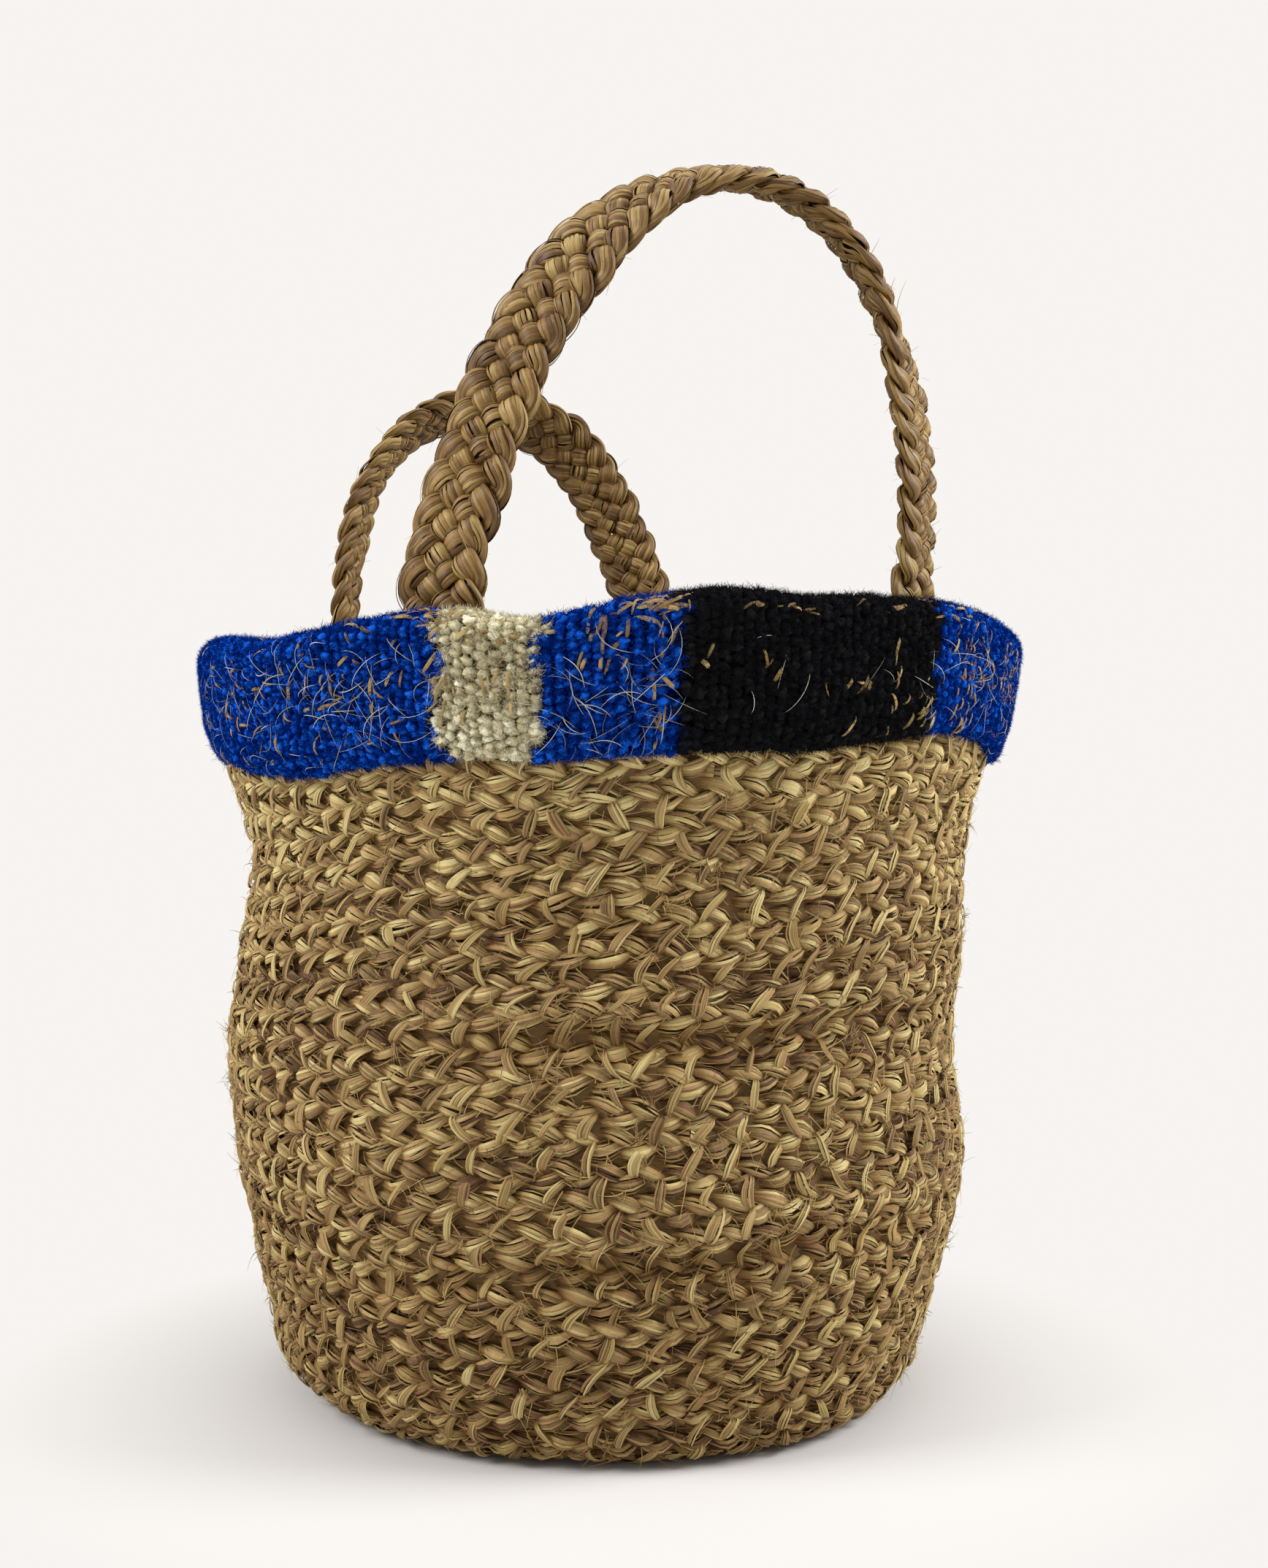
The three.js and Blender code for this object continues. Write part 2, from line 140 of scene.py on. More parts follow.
# Painted shade in the creases, for each metre of a crease's depth.
CREASE_SHADE = 110
STITCH_SPACINGS = [(0.0182, 1), (0.02, -1)]
STITCH_BLADES, STITCH_STATIONS = 6, 8
STITCH_LEAN, STITCH_TALL = (0.001, 0.005), (0.0038, 0.0064)
STITCH_HIGH, STITCH_WIDE = (0.0039, 0.0049), (0.0011, 0.0027)
STITCH_ROOT = 0.0012
STITCH_SHADE_FROM, STITCH_SHADE_RANGE = 0.0015, 0.0035
LEAST_RADIUS = 0.002


class Field:
    """One socket in a material's nodes. Arithmetic on it adds Math nodes."""

    def __init__(self, tree, socket=None):
        self.tree = tree
        self.socket = socket

    def node(self, kind, settings, inputs, output=0):
        made = self.tree.nodes.new(kind)
        for name, value in settings.items():
            if name == "stops":
                stops = made.color_ramp.elements
                for place, colour in value[1:-1]:
                    stops.new(place).color = (*colour, 1)
                stops[0].position, stops[-1].position = value[0][0], value[-1][0]
                stops[0].color, stops[-1].color = (*value[0][1], 1), (*value[-1][1], 1)
            else:
                setattr(made, name, value)
        for name, value in inputs.items():
            if isinstance(value, Field):
                self.tree.links.new(value.socket, made.inputs[name])
            else:
                made.inputs[name].default_value = value
        return Field(self.tree, made.outputs[output] if made.outputs else None)

    def maths(self, operation, first, second):
        return self.node("ShaderNodeMath", {"operation": operation}, {0: first, 1: second})

    def __add__(self, other):
        return self.maths("ADD", self, other)

    __radd__ = __add__

    def __sub__(self, other):
        return self.maths("SUBTRACT", self, other)

    def __rsub__(self, other):
        return self.maths("SUBTRACT", other, self)

    def __mul__(self, other):
        return self.maths("MULTIPLY", self, other)

    __rmul__ = __mul__


def new_finish(name):
    material = bpy.data.materials.new(name)
    material.use_nodes = True
    material.node_tree.nodes.clear()
    return material, Field(material.node_tree)


def scaled(place, by):
    return place.node("ShaderNodeVectorMath", {"operation": "MULTIPLY"}, {0: place, 1: by})


def tinted(colour, by):
    settings = {"data_type": "RGBA", "blend_type": "MULTIPLY", "clamp_result": False}
    return colour.node("ShaderNodeMix", settings, {0: 1, 6: colour, 7: by}, 2)


def surface(material, start, inputs):
    shader = start.node("ShaderNodeBsdfPrincipled", {}, inputs)
    start.node("ShaderNodeOutputMaterial", {}, {"Surface": shader})
    return material


def on_map(start):
    """The place on the bake map, and the tone and the depth that sets the painted shade."""
    place = start.node("ShaderNodeUVMap", {"uv_map": MAP}, {})
    tone, depth = (place.node("ShaderNodeSeparateXYZ", {}, {0: place}, k) for k in range(2))
    return place, tone, depth


def noise(place, size, detail):
    inputs = {"Vector": scaled(place, size), "Scale": 1, "Detail": detail}
    return place.node("ShaderNodeTexNoise", {}, inputs)


def ramp(stops, level):
    return level.node("ShaderNodeValToRGB", {"stops": stops}, {0: level})


def grass_finish(name, tones, roughness, gloss):
    """Fine streaks along each blade, blotches over several, and painted shade deep in the work."""
    material, start = new_finish(name)
    place, tone, depth = on_map(start)
    streaks = noise(place, (420, 3, 1), 2)
    mottle = noise(place, (90, 9, 1), 1)
    colour = ramp(tones, tone + (streaks - 0.5) * 0.5 + (mottle - 0.5) * 0.3)
    colour = tinted(colour, ramp(PAINTED_DEPTH_SHADE, depth))
    bump = place.node("ShaderNodeBump", {}, {"Strength": 0.35, "Distance": 0.0006, "Height": streaks})
    inputs = {"Base Color": colour, "Roughness": roughness + (streaks - 0.5) * 0.3}
    inputs |= {"Normal": bump, "Specular IOR Level": gloss}
    return surface(material, start, inputs)


def unit(vectors, least=0):
    """Vectors brought to length one."""
    return vectors / (np.linalg.norm(vectors, axis=-1, keepdims=True) + least)


def ribbons(middle, side, lift, wide, thick, tone, shade, keep=None, flat=False):
    """Blades through rows of stations: corners, four-cornered faces and their places on the map.

    A blade is two long strips of faces that meet on a ridge, or a single flat strip. Its back is open.
    """
    left = middle - side * wide[..., None]
    right = middle + side * wide[..., None]
    ridge = middle + lift * thick[..., None]
    rings = np.stack([left, right] if flat else [left, ridge, right], axis=2)
    blades, stations, sides = rings.shape[:3]
    corner = np.arange(blades * stations * sides).reshape(blades, stations, sides)
    near, far = corner[:, :-1], corner[:, 1:]
    faces = np.stack([near[:, :, :-1], near[:, :, 1:], far[:, :, 1:], far[:, :, :-1]], axis=-1)
    along = middle[:, 1:] - middle[:, :-1]
    handed = (np.cross(side[:, 1:], along) * lift[:, 1:]).sum()
    across = np.array([[0, 1, 1, 0], [1, 2, 2, 1]])[: faces.shape[2]] * 0.4
    tone = tone[:, :-1] if tone.ndim == 2 else tone
    across = (np.floor(tone[..., None, None] * BLADE_TONES) + 0.1 + across) / BLADE_TONES
    depth = 0.04 + 0.88 * np.clip(shade, 0, 1) + 0.03 * (np.arange(stations) % 2)
    depth = np.stack([depth[:, :-1], depth[:, :-1], depth[:, 1:], depth[:, 1:]], axis=-1)
    if across.ndim == 3:
        across = across[:, None]
    across = np.broadcast_to(across, faces.shape)
    depth = np.broadcast_to(depth[:, :, None], faces.shape)
    places = np.stack([across, depth], axis=-1)
    if handed < 0:
        faces, places = faces[..., ::-1], places[..., ::-1, :]
    if keep is not None:
        faces, places = faces[keep], places[keep]
    return rings.reshape(-1, 3), faces.reshape(-1, 4), places.reshape(-1, 4, 2)


def hairs(root, way, bend, length, side, lift, half, taper, stations, tone, shades, flat=False):
    """Tapered hairs that leave their roots one way and bend. shades: painted shade at the root, and the tip's
    gain.
    """
    go = np.linspace(0, 1, stations)[None, :, None]
    middle = root[:, None] + length[:, None] * (way[:, None] * go + bend[:, None] * go**2)
    side, lift = (np.broadcast_to(line[:, None], middle.shape) for line in (side, lift))
    go = go[..., 0] + 0 * middle[..., 0]
    wide = half * (1 - taper * go)
    return ribbons(middle, side, lift, wide, wide, tone, shades[0] + shades[1] * go, flat=flat)


def piece(name, parts, finish, stands_for=()):
    """One object from several sets of corners, faces and map places, settled as the real basket is."""
    counts = np.cumsum([0] + [len(part[0]) for part in parts])
    corners = settled(np.concatenate([part[0] for part in parts]))
    faces = np.concatenate([part[1] + first for part, first in zip(parts, counts)])
    places = np.concatenate([part[2] for part in parts])
    mesh = bpy.data.meshes.new(name)
    mesh.vertices.add(len(corners))
    mesh.vertices.foreach_set("co", corners.astype(np.float32).ravel())
    mesh.loops.add(faces.size)
    mesh.loops.foreach_set("vertex_index", faces.astype(np.int32).ravel())
    mesh.polygons.add(len(faces))
    mesh.polygons.foreach_set("loop_start", np.arange(0, faces.size, 4, dtype=np.int32))
    mesh.polygons.foreach_set("use_smooth", np.ones(len(faces), bool))
    mesh.update(calc_edges=True)
    mesh.uv_layers.new(name=MAP).data.foreach_set("uv", places.astype(np.float32).ravel())
    mesh.materials.append(finish)
    made = bpy.data.objects.new(name, mesh)
    bpy.context.scene.collection.objects.link(made)
    if stands_for:
        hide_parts(*stands_for)
    return made


def bezier(points, t):
    a, b, c, d = points
    return a * (1 - t) ** 3 + 3 * b * t * (1 - t) ** 2 + 3 * c * t**2 * (1 - t) + d * t**3


def distances(line):
    """How far along a line each of its points is."""
    return np.concatenate([[0], np.cumsum(np.hypot(*np.diff(line, axis=0).T))])


def on_line(place, steps, line):
    """The two coordinates at a distance along a line."""
    return np.array([np.interp(place, steps, line[:, k]) for k in range(2)])


def section_line():
    """The wall's section: a flat base, a round corner, a belly, a waist and a rim that opens out."""
    t = np.linspace(0, 1, 60, endpoint=False)[:, None]
    base = np.array([0, HALF_PLAIT]) + t * np.array([BASE_FLAT_RADIUS, 0])
    spans = [base, bezier(CORNER, t)]
    knots = np.vstack([WALL_KNOTS[:1], WALL_KNOTS, WALL_KNOTS[-1:]])
    for a, b, c, d in zip(knots, knots[1:], knots[2:], knots[3:]):
        leaving, arriving = (c - a) / 2, (d - b) / 2
        cubic = 2 * b - 2 * c + leaving + arriving
        square = 3 * c - 3 * b - 2 * leaving - arriving
        spans.append(cubic * t**3 + square * t**2 + leaving * t + b)
    return np.vstack([*spans, WALL_KNOTS[-1:]])


section = section_line()
section_along = distances(section)
section_run = unit(np.gradient(section, section_along, axis=0))
RIM_ALONG = section_along[-1]
COIL_TURNS = (RIM_ALONG - LEAST_PLAIT + HALF_COURSE - FIRST_ALONG) / PLAIT_PITCH


def wall_frame(angle, along):
    """Directions at a place on the wall: round the course, up the section, and straight out."""
    run_out, run_up = on_line(np.clip(along, 0, RIM_ALONG), section_along, section_run)
    sine, cosine = np.sin(angle), np.cos(angle)
    zero = np.zeros_like(run_up * sine)
    course = np.stack([cosine + zero, sine + zero, zero], axis=-1)
    up = np.stack([run_out * sine, -run_out * cosine, run_up + zero], axis=-1)
    out = np.stack([run_up * sine, -run_up * cosine, zero - run_out], axis=-1)
    return course, up, out


def wall_point(angle, along, off):
    kept = np.clip(along, 0, RIM_ALONG)
    radius, height = on_line(kept, section_along, section)
    _, up, out = wall_frame(angle, along)
    middle = np.stack([radius * np.sin(angle), -radius * np.cos(angle), height + 0 * angle], axis=-1)
    return middle + up * (along - kept)[..., None] + out * (off + 0 * along)[..., None]


def creased(angle, height):
    """How far the wall is pressed in along its creases. It bulges a little above each."""
    deep = 0 * height
    for middle_height, middle, reach, slope, depth in CREASES:
        turn = (np.degrees(angle) - middle + 180) % 360 - 180
        above = (height - middle_height - slope * turn) / CREASE_HALF
        fold = np.exp(-(above**2)) - 0.4 * np.exp(-((above - 2.0) ** 2))
        deep = deep + depth * fold * np.exp(-((turn / reach) ** 2))
    return deep


def settled(points):
    """Corners moved by the handmade basket's lean, slack, dents and creases, and its uneven rim."""
    x, y, z = points.T
    angle = np.arctan2(x, -y)
    radius = np.hypot(x, y)
    fade = np.clip((SETTLED_TO - z) / SETTLED_FADE, 0, 1)
    hang = np.clip((radius - SLACK_FROM) / SLACK_FADE, 0, 1)
    dent = 0.0014 * np.sin(3 * angle + 9 * z / RIM_HEIGHT) + 0.001 * np.sin(5 * angle - 14 * z)
    wave = 0.0012 * np.sin(4 * angle + 1.3 + 18 * z) + 0.001 * np.sin(9 * angle - 15 * z)
    slack = np.interp(z, SLACK_HEIGHTS, SLACK) + dent * np.clip(z / 0.03, 0, 1)
    pull = np.interp(np.degrees(angle), FOOT_TURNS, FOOT_PULL)
    slack = slack + pull * np.clip(1 - z / FOOT_HEIGHT, 0, 1) - creased(angle, z)
    sag = np.interp(np.degrees(angle), RIM_ANGLES, RIM_RISE)
    side = np.array([math.cos(CAMERA_AZIMUTH), math.sin(CAMERA_AZIMUTH), 0])
    out = np.stack([np.sin(angle), -np.cos(angle), 0 * z], axis=-1)
    lean = np.interp(z, SLACK_HEIGHTS, LEAN)
    moved = points + out * (slack * fade * hang)[:, None] + side * lean[:, None]
    wave = wave * fade * hang * np.clip(z / 0.1, 0, 1)
    moved[:, 2] += wave + sag * fade * np.clip(z / RIM_HEIGHT, 0, 1) ** 4
    moved[:, 2] = np.maximum(moved[:, 2], 0)
    return moved


grass = grass_finish("plaited_grass", GRASS_TONES, 0.62, 0.22)

coil_turn = np.linspace(FIRST_TURN, COIL_TURNS, 8000)
coil_along = FIRST_ALONG + PLAIT_PITCH * coil_turn
coil_radius = np.maximum(np.interp(coil_along, section_along, section[:, 0]), LEAST_RADIUS)
coil_steps = 2 * math.pi * (coil_radius[1:] + coil_radius[:-1]) / 2 * np.diff(coil_turn)
coil_distance = np.concatenate([[0], np.cumsum(coil_steps)])


def eased(share):
    return share * share * (3 - 2 * share)


def wander(rng, places, reach, rows=0):
    """Smooth random values with a fresh one about every reach: one line of them, or several rows."""
    knots = rng.standard_normal((max(rows, 1), int(np.ptp(places) / reach) + 3))
    spot = (places - places.min()) / reach
    first = spot.astype(int)
    share = eased(spot - first)
    values = knots[:, first] * (1 - share) + knots[:, first + 1] * share
    return values if rows else values[0]


def blade_ends(rng, rows, stations, shortest, longest):
    """Where each row's blades end: faces that stay, each station's blade, and its narrowing at the ends."""
    keep = np.ones((rows, stations - 1), bool)
    number = np.zeros((rows, stations), int)
    narrow = np.ones((rows, stations))
    spots = np.arange(stations)
    for row in range(rows):
        ends = np.cumsum(rng.integers(shortest, longest, stations // shortest + 2)) - rng.integers(longest)
        ends = ends[(ends > 0) & (ends < stations - 2)]
        keep[row, ends] = False
        number[row] = np.searchsorted(ends, spots, side="left")
        if len(ends):
            before, after = (np.abs(spots[:, None] - ends - k).min(axis=1) for k in range(2))
            away = np.minimum(before, after)
            narrow[row] = np.clip(away / 2.0, 0.08, 1)
    tones = rng.random((rows, number.max() + 1))
    return keep, np.take_along_axis(tones, number, axis=1), narrow


def bundle(
    rng, distance, centre, side, lift, wide, thick, tone_shift, blades, blade_half, turn_per_mm, runs, square
):
    """Blades laid round a flattened bundle. centre, side and lift are (stations, 3)."""
    spots = np.arange(len(centre), dtype=float)
    turn = 2 * math.pi * np.arange(blades)[:, None] / blades + turn_per_mm * distance / 0.001
    turn = turn + 0.12 * wander(rng, spots, 7, blades)
    turn = turn + 0.15 * np.sin(2 * turn)
    swell = 1 + 0.07 * wander(rng, spots, 7, blades)
    keep, tone, narrow = blade_ends(rng, blades, len(centre), *runs)
    across = np.cos(turn) * wide * swell
    off = np.sign(np.sin(turn)) * np.abs(np.sin(turn)) ** square * thick * swell
    middle = centre + side * across[..., None] + lift * off[..., None]
    tangent = unit(side * (-np.sin(turn) * wide)[..., None] + lift * (np.cos(turn) * thick)[..., None])
    normal = unit(side * (np.cos(turn) * thick)[..., None] + lift * (np.sin(turn) * wide)[..., None])
    half = blade_half * narrow * (1 + 0.15 * wander(rng, spots, 6, blades))
    tone = np.clip(0.5 + (tone - 0.5) * 0.85 + tone_shift, 0, 0.999)
    return middle, tangent, normal, half, tone, keep, off


def painted_light_and_shade(shade, angle, height):
    """Painted shade makes the wall darker near the ground and in its creases; painted light makes it paler
    near the rim and just above each crease.
    """
    return shade + np.interp(height, PAINTED_LIGHT_HEIGHTS, PAINTED_LIGHT_SHADES) - CREASE_SHADE * creased(angle, height)


def plait_length(rng, first_turn, last_turn):
    """The plait between two turns: three bundles over and under each other, and a core painted dark as shade.
    """
    start, end = np.interp([first_turn, last_turn], coil_turn, coil_distance)
    stations = int((end - start) / PLAIT_PERIOD * STATIONS_PER_PERIOD) + 2
    distance = np.linspace(start, end, stations)
    turn = np.interp(distance, coil_distance, coil_turn)
    angle = 2 * math.pi * turn
    along = FIRST_ALONG + PLAIT_PITCH * turn
    last_fit = np.clip((RIM_ALONG - along + HALF_COURSE) / (2 * HALF_COURSE), 0.2, 1)
    along = along - HALF_COURSE * (1 - last_fit)
    along = along + 0.0005 * wander(rng, distance, 0.05)
    course, up, out = wall_frame(angle, along)
    parts = []
    for strand in range(3):
        phase = 2 * math.pi * (distance / PLAIT_PERIOD + strand / 3)
        phase = phase + 0.2 * wander(rng, distance, 0.03)
        swing = BUNDLE_SWING * last_fit * (1 + 0.1 * wander(rng, distance, 0.02))
        across = swing * np.sin(phase)
        off = -BUNDLE_DEPTH * np.sin(2 * phase) + 0.0003 * wander(rng, distance, 0.015)
        lean = np.gradient(across, distance)
        fat = 0.8 + 0.38 * np.abs(np.sin(2 * phase))
        centre = wall_point(angle, along + across, off)
        side = unit(up - course * lean[:, None])
        drift = 0.14 * wander(rng, distance, 0.016) + 0.08 * wander(rng, distance, 0.2)
        # Painted light: blades near the rim get paler tones.
        drift = drift + np.interp(centre[:, 2], PAINTED_LIGHT_HEIGHTS, PAINTED_LIGHT_TONES)
        wide, thick = BUNDLE_WIDE * fat * last_fit, BUNDLE_THICK * (0.85 + 0.15 * fat)
        middle, tangent, normal, half, tone, keep, inside = bundle(
            rng, distance, centre, side, out, wide, thick, drift + 0.04, **BUNDLE_BLADES
        )
        # Painted shade: blades deeper in the plait, low on the wall and in creases are darker; painted light
        # makes them paler near the rim.
        shade = (np.abs(off + inside) - PLAIT_SHADE_FROM) / PLAIT_SHADE_RANGE
        shade = painted_light_and_shade(shade, angle, centre[:, 2])
        parts.append(ribbons(middle, tangent, normal, half, half * 0.5, tone, shade, keep))
    # The core stands for the plait's packed inner blades; its dark colour is painted shade.
    core = wall_point(angle, along, 0 * along)[None]
    wide = HALF_COURSE * CORE_WIDE * last_fit[None]
    parts.append(
        ribbons(core, up[None], out[None], wide, CORE_THICK + 0 * wide, np.full(1, 0.35), 0.2 + 0 * wide)
    )
    return parts


def plait_stitches(rng, first_turn, last_turn, spacing, facing):
    """Tight loops of split grass over the seam between this turn and the next one."""
    start, end = np.interp([first_turn, min(last_turn, COIL_TURNS - 1)], coil_turn, coil_distance)
    count = max(int((end - start) / spacing), 1)
    distance = start + (end - start) * (np.arange(count) + 0.6 * rng.random(count)) / count
    turn = np.interp(distance, coil_distance, coil_turn)
    angle = 2 * math.pi * turn
    seam = FIRST_ALONG + PLAIT_PITCH * (turn + 0.5)
    radius = np.interp(seam, section_along, section[:, 0])
    lean = np.where(rng.random(count) < 0.82, 1, -0.7) * rng.uniform(*STITCH_LEAN, count)
    bow = rng.normal(-0.0015, 0.0006, count)
    tall = rng.uniform(*STITCH_TALL, count)
    high = rng.uniform(*STITCH_HIGH, count)
    wide = rng.uniform(*STITCH_WIDE, count)
    lean, bow, tall, high, wide, angle, seam, radius = (
        values[:, None, None] for values in (lean, bow, tall, high, wide, angle, seam, radius)
    )
    rank = ((np.arange(STITCH_BLADES) - (STITCH_BLADES - 1) / 2) / (STITCH_BLADES / 2))[None, :, None]
    go = np.linspace(-1, 1, STITCH_STATIONS)[None, None, :]
    uneven = rng.standard_normal((count, STITCH_BLADES, 1))
    spread = wide * (1 - 0.45 * go**2) * (rank + 0.08 * uneven)
    step = lean * go + bow * (1 - go**2) + spread
    across = tall * go * (1 + 0.06 * uneven)
    off = STITCH_ROOT + (high - STITCH_ROOT) * np.sqrt(np.clip(1 - (go * 0.97) ** 4, 0, 1))
    off = facing * (off - 0.0004 * rank**2 + 0.00015 * uneven)
    half = (0.0001 + 0.14 * wide) * (1 - 0.4 * go**6) * rng.uniform(0.75, 1.2, (count, STITCH_BLADES, 1))
    place, along, off, half = (
        (values + 0 * step).reshape(-1, STITCH_STATIONS)
        for values in (angle + step / radius, seam + across, off, half)
    )
    middle = wall_point(place, along, off)
    normal = wall_frame(place, along)[2] * facing
    side = unit(np.cross(unit(np.gradient(middle, axis=1)), normal))
    tone = np.clip(rng.uniform(0.28, 0.9, (count, 1)) + 0.2 * uneven[..., 0], 0, 0.999).reshape(-1)
    # Painted shade: stitch blades close to the wall, low down and in creases are darker; painted light makes
    # them paler near the rim.
    shade = painted_light_and_shade((np.abs(off) - STITCH_SHADE_FROM) / STITCH_SHADE_RANGE, place, middle[..., 2])
    return ribbons(middle, side, normal, half, half * 0.9, tone, shade)


lengths = [("coil_start", FIRST_TURN, 0)]
for number, first in enumerate(range(0, BASE_TURNS, TURNS_PER_LENGTH), 1):
    lengths.append((f"base_plait_{number}", first, first + TURNS_PER_LENGTH))
starts = range(BASE_TURNS, math.ceil(COIL_TURNS - 1), TURNS_PER_LENGTH)
for number, (first, last) in enumerate(zip(starts, [*starts[1:], COIL_TURNS]), 1):
    lengths.append((f"wall_plait_{number}", first, last))

for seed, (node, first, last) in enumerate(lengths):
    rng = np.random.default_rng(100 + seed)
    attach(piece(node + "_grass", plait_length(rng, first, last), grass, [node]), "basket")
    stitches = [plait_stitches(rng, first, last, spacing, facing) for spacing, facing in STITCH_SPACINGS]
    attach(piece(node + "_sewing", stitches, grass), "basket")


# The handles: each a flat plait of five grass bundles. Every bundle goes to and fro across the strap,
# over one and under one, and runs on inside the rim, where the strap's two ends are sewn down flat.
STRANDS = 5
HINGE_HEIGHT = 0.3341
HANDLES = {
    "front": {
        "turn": 0, "spread": 35.9, "radius": 0.1612, "lean": 0, "rise": 0.157, "apex": 0.02,
        "left_leg": (0.016, 0.075), "crown": (0.057, 0.052), "right_leg": (0.004, 0.094), "right_twist": 40,
    },
    "back": {
        "turn": 190, "spread": 32.9, "radius": 0.1605, "lean": 8, "rise": 0.138, "apex": 0.003,
        "left_leg": (0.015, 0.075), "crown": (0.057, 0.051), "right_leg": (0.001, 0.092), "right_twist": 30,
    },
}
CROWN_TWIST = 18
TWIST_LEAVES, TWIST_LEVEL, TWIST_RETURNS, TWIST_BACK = 0.28, 0.55, 0.7, 0.8
TAB_DEPTH = 0.058
COLUMN_PITCH, ROW_PITCH = 0.0059, 0.00565
WEAVE_HEIGHT = 0.0025
# One strand's way over two crossings of the strap, row by row: its column, and whether it is on top.
COLUMNS = [0.5, 1.5, 2.5, 3.5, 4.2, 3.5, 2.5, 1.5, 0.5, -0.2]
HEIGHTS = [1, -1, 1, -1, 0, 1, -1, 1, -1, 0]
STRAND_WIDE, STRAND_THICK = 0.0045, 0.002
STRAND_BLADES = {"blades": 26, "blade_half": 0.00068, "turn_per_mm": 0.012, "runs": (40, 140), "square": 0.62}
STRAND_SHADE_FROM, STRAND_SHADE_RANGE = -0.0006, 0.0046
EDGE_FROM, EDGE_RANGE = 0.009, 0.004
STRAP_STEP = 0.0009
STRAP_HAIRS, STRAP_HAIR_HALF, STRAP_HAIR_LENGTH = 90, 0.00016, (0.003, 0.01)
FOOT_STITCH_BLADES, FOOT_STITCH_HALF, FOOT_STITCH_STATIONS = 9, 0.0034, 31
FOOT_STITCH_DROPS = (0.031, 0.048)
FOOT_STITCH_ROUTE = [
    (-0.0195, -0.005), (-0.0192, 0.003), (-0.0172, 0.0058), (-0.009, 0.0062), (0, 0.0064),
]
BEND_REACH = 0.014

STRAP_TONES = [
    (0, (0.09, 0.043, 0.013)), (0.2, (0.14, 0.072, 0.02)), (0.45, (0.197, 0.109, 0.03)),
    (0.7, (0.262, 0.157, 0.046)), (1, (0.38, 0.262, 0.092)),
]
strap_grass = grass_finish("handle_grass", STRAP_TONES, 0.48, 0.32)


def turned(points, angle, axis):
    """Points turned about the x axis or the z axis."""
    cosine, sine = math.cos(angle), math.sin(angle)
    matrix = [[cosine, -sine, 0], [sine, cosine, 0], [0, 0, 1]]
    if axis == "x":
        matrix = [[1, 0, 0], [0, cosine, -sine], [0, sine, cosine]]
    return points @ np.array(matrix).T


def smooth_rise(value, low, high):
    return eased(np.clip((value - low) / (high - low), 0, 1))


def foot_line(handle, side):
    """The strap's end inside the rim, from its tip up to the hinge: middles and face directions."""
    run_out, run_up = section_run[-1]
    up = np.arange(-TAB_DEPTH, -STRAP_STEP / 2, STRAP_STEP)[:, None]
    hinge = np.array([0, -handle["radius"], HINGE_HEIGHT])
    run = np.array([0, -run_out, run_up])
    face = np.array([0, -run_up, -run_out])
    angle = math.radians(handle["turn"] + side * handle["spread"])
    return [turned(line, angle, "z") for line in (hinge + up * run, face + 0 * up)]


def evened(line):
    """A row of points or directions with its kinks smoothed out and its two ends left as they are."""
    for _ in range(3):
        line[6:-6] = sum(line[6 + k : len(line) - 6 + k] for k in range(-5, 6)) / 11
    return line


def strap_line(handle):
    """The whole strap at even steps: distance from the left hinge, middle, width and face directions."""
    spread = math.radians(handle["spread"])
    half = handle["radius"] * math.sin(spread)
    top = np.array([handle["apex"], handle["rise"]])
    left, right = np.array([-half, 0]), np.array([half, 0])
    left_crown, right_crown = handle["crown"]
    t = np.linspace(0, 1, 400)[:, None]
    left_curve = bezier((left, left + handle["left_leg"], top - (left_crown, 0), top), t)
    right_curve = bezier((top, top + (right_crown, 0), right + handle["right_leg"], right), t)
    curve = np.vstack([left_curve, right_curve[1:]])
    far = distances(curve)
    length = far[-1]
    distance = np.linspace(0, length, int(length / STRAP_STEP))
    x, z = on_line(distance, far, curve)
    middle = np.stack([x, 0 * x, z], axis=1)
    run = unit(np.gradient(middle, axis=0))
    share = distance / length
    twists = [90 - handle["spread"], CROWN_TWIST, handle["right_twist"]]
    left_twist, crown_twist, right_twist = np.radians(twists)
    twist = crown_twist + (left_twist - crown_twist) * (1 - smooth_rise(share, TWIST_LEAVES, TWIST_LEVEL))
    twist = twist + (right_twist - crown_twist) * smooth_rise(share, TWIST_RETURNS, TWIST_BACK)
    outward = np.stack([-run[:, 2], 0 * x, run[:, 0]], axis=1)
    face = outward * np.cos(twist)[:, None] + np.array([0, -1, 0]) * np.sin(twist)[:, None]
    place = np.array([0, -handle["radius"] * math.cos(spread), HINGE_HEIGHT])
    lean, turn = math.radians(handle["lean"]), math.radians(handle["turn"])
    middle = turned(turned(middle, lean, "x") + place, turn, "z")
    face = turned(turned(face, lean, "x"), turn, "z")
    left_middle, left_face = foot_line(handle, -1)
    right_middle, right_face = foot_line(handle, 1)
    middle = evened(np.vstack([left_middle, middle, right_middle[::-1]]))
    face = evened(np.vstack([left_face, face, right_face[::-1]]))
    run = unit(np.gradient(middle, axis=0))
    face = unit(face - run * (face * run).sum(axis=1)[:, None])
    distance = (np.arange(len(middle)) - len(left_middle)) * STRAP_STEP
    return distance, middle, np.cross(face, run), face


def round_table(values, place):
    """A smooth curve through a ring of values."""
    values = np.array(values, float)
    first = np.floor(place).astype(int)
    share = place - first
    a, b, c, d = (values[(first + k) % len(values)] for k in (-1, 0, 1, 2))
    curve = 2 * a - 5 * b + 4 * c - d + share * (3 * (b - c) + d - a)
    return b + share / 2 * (c - a + share * curve)


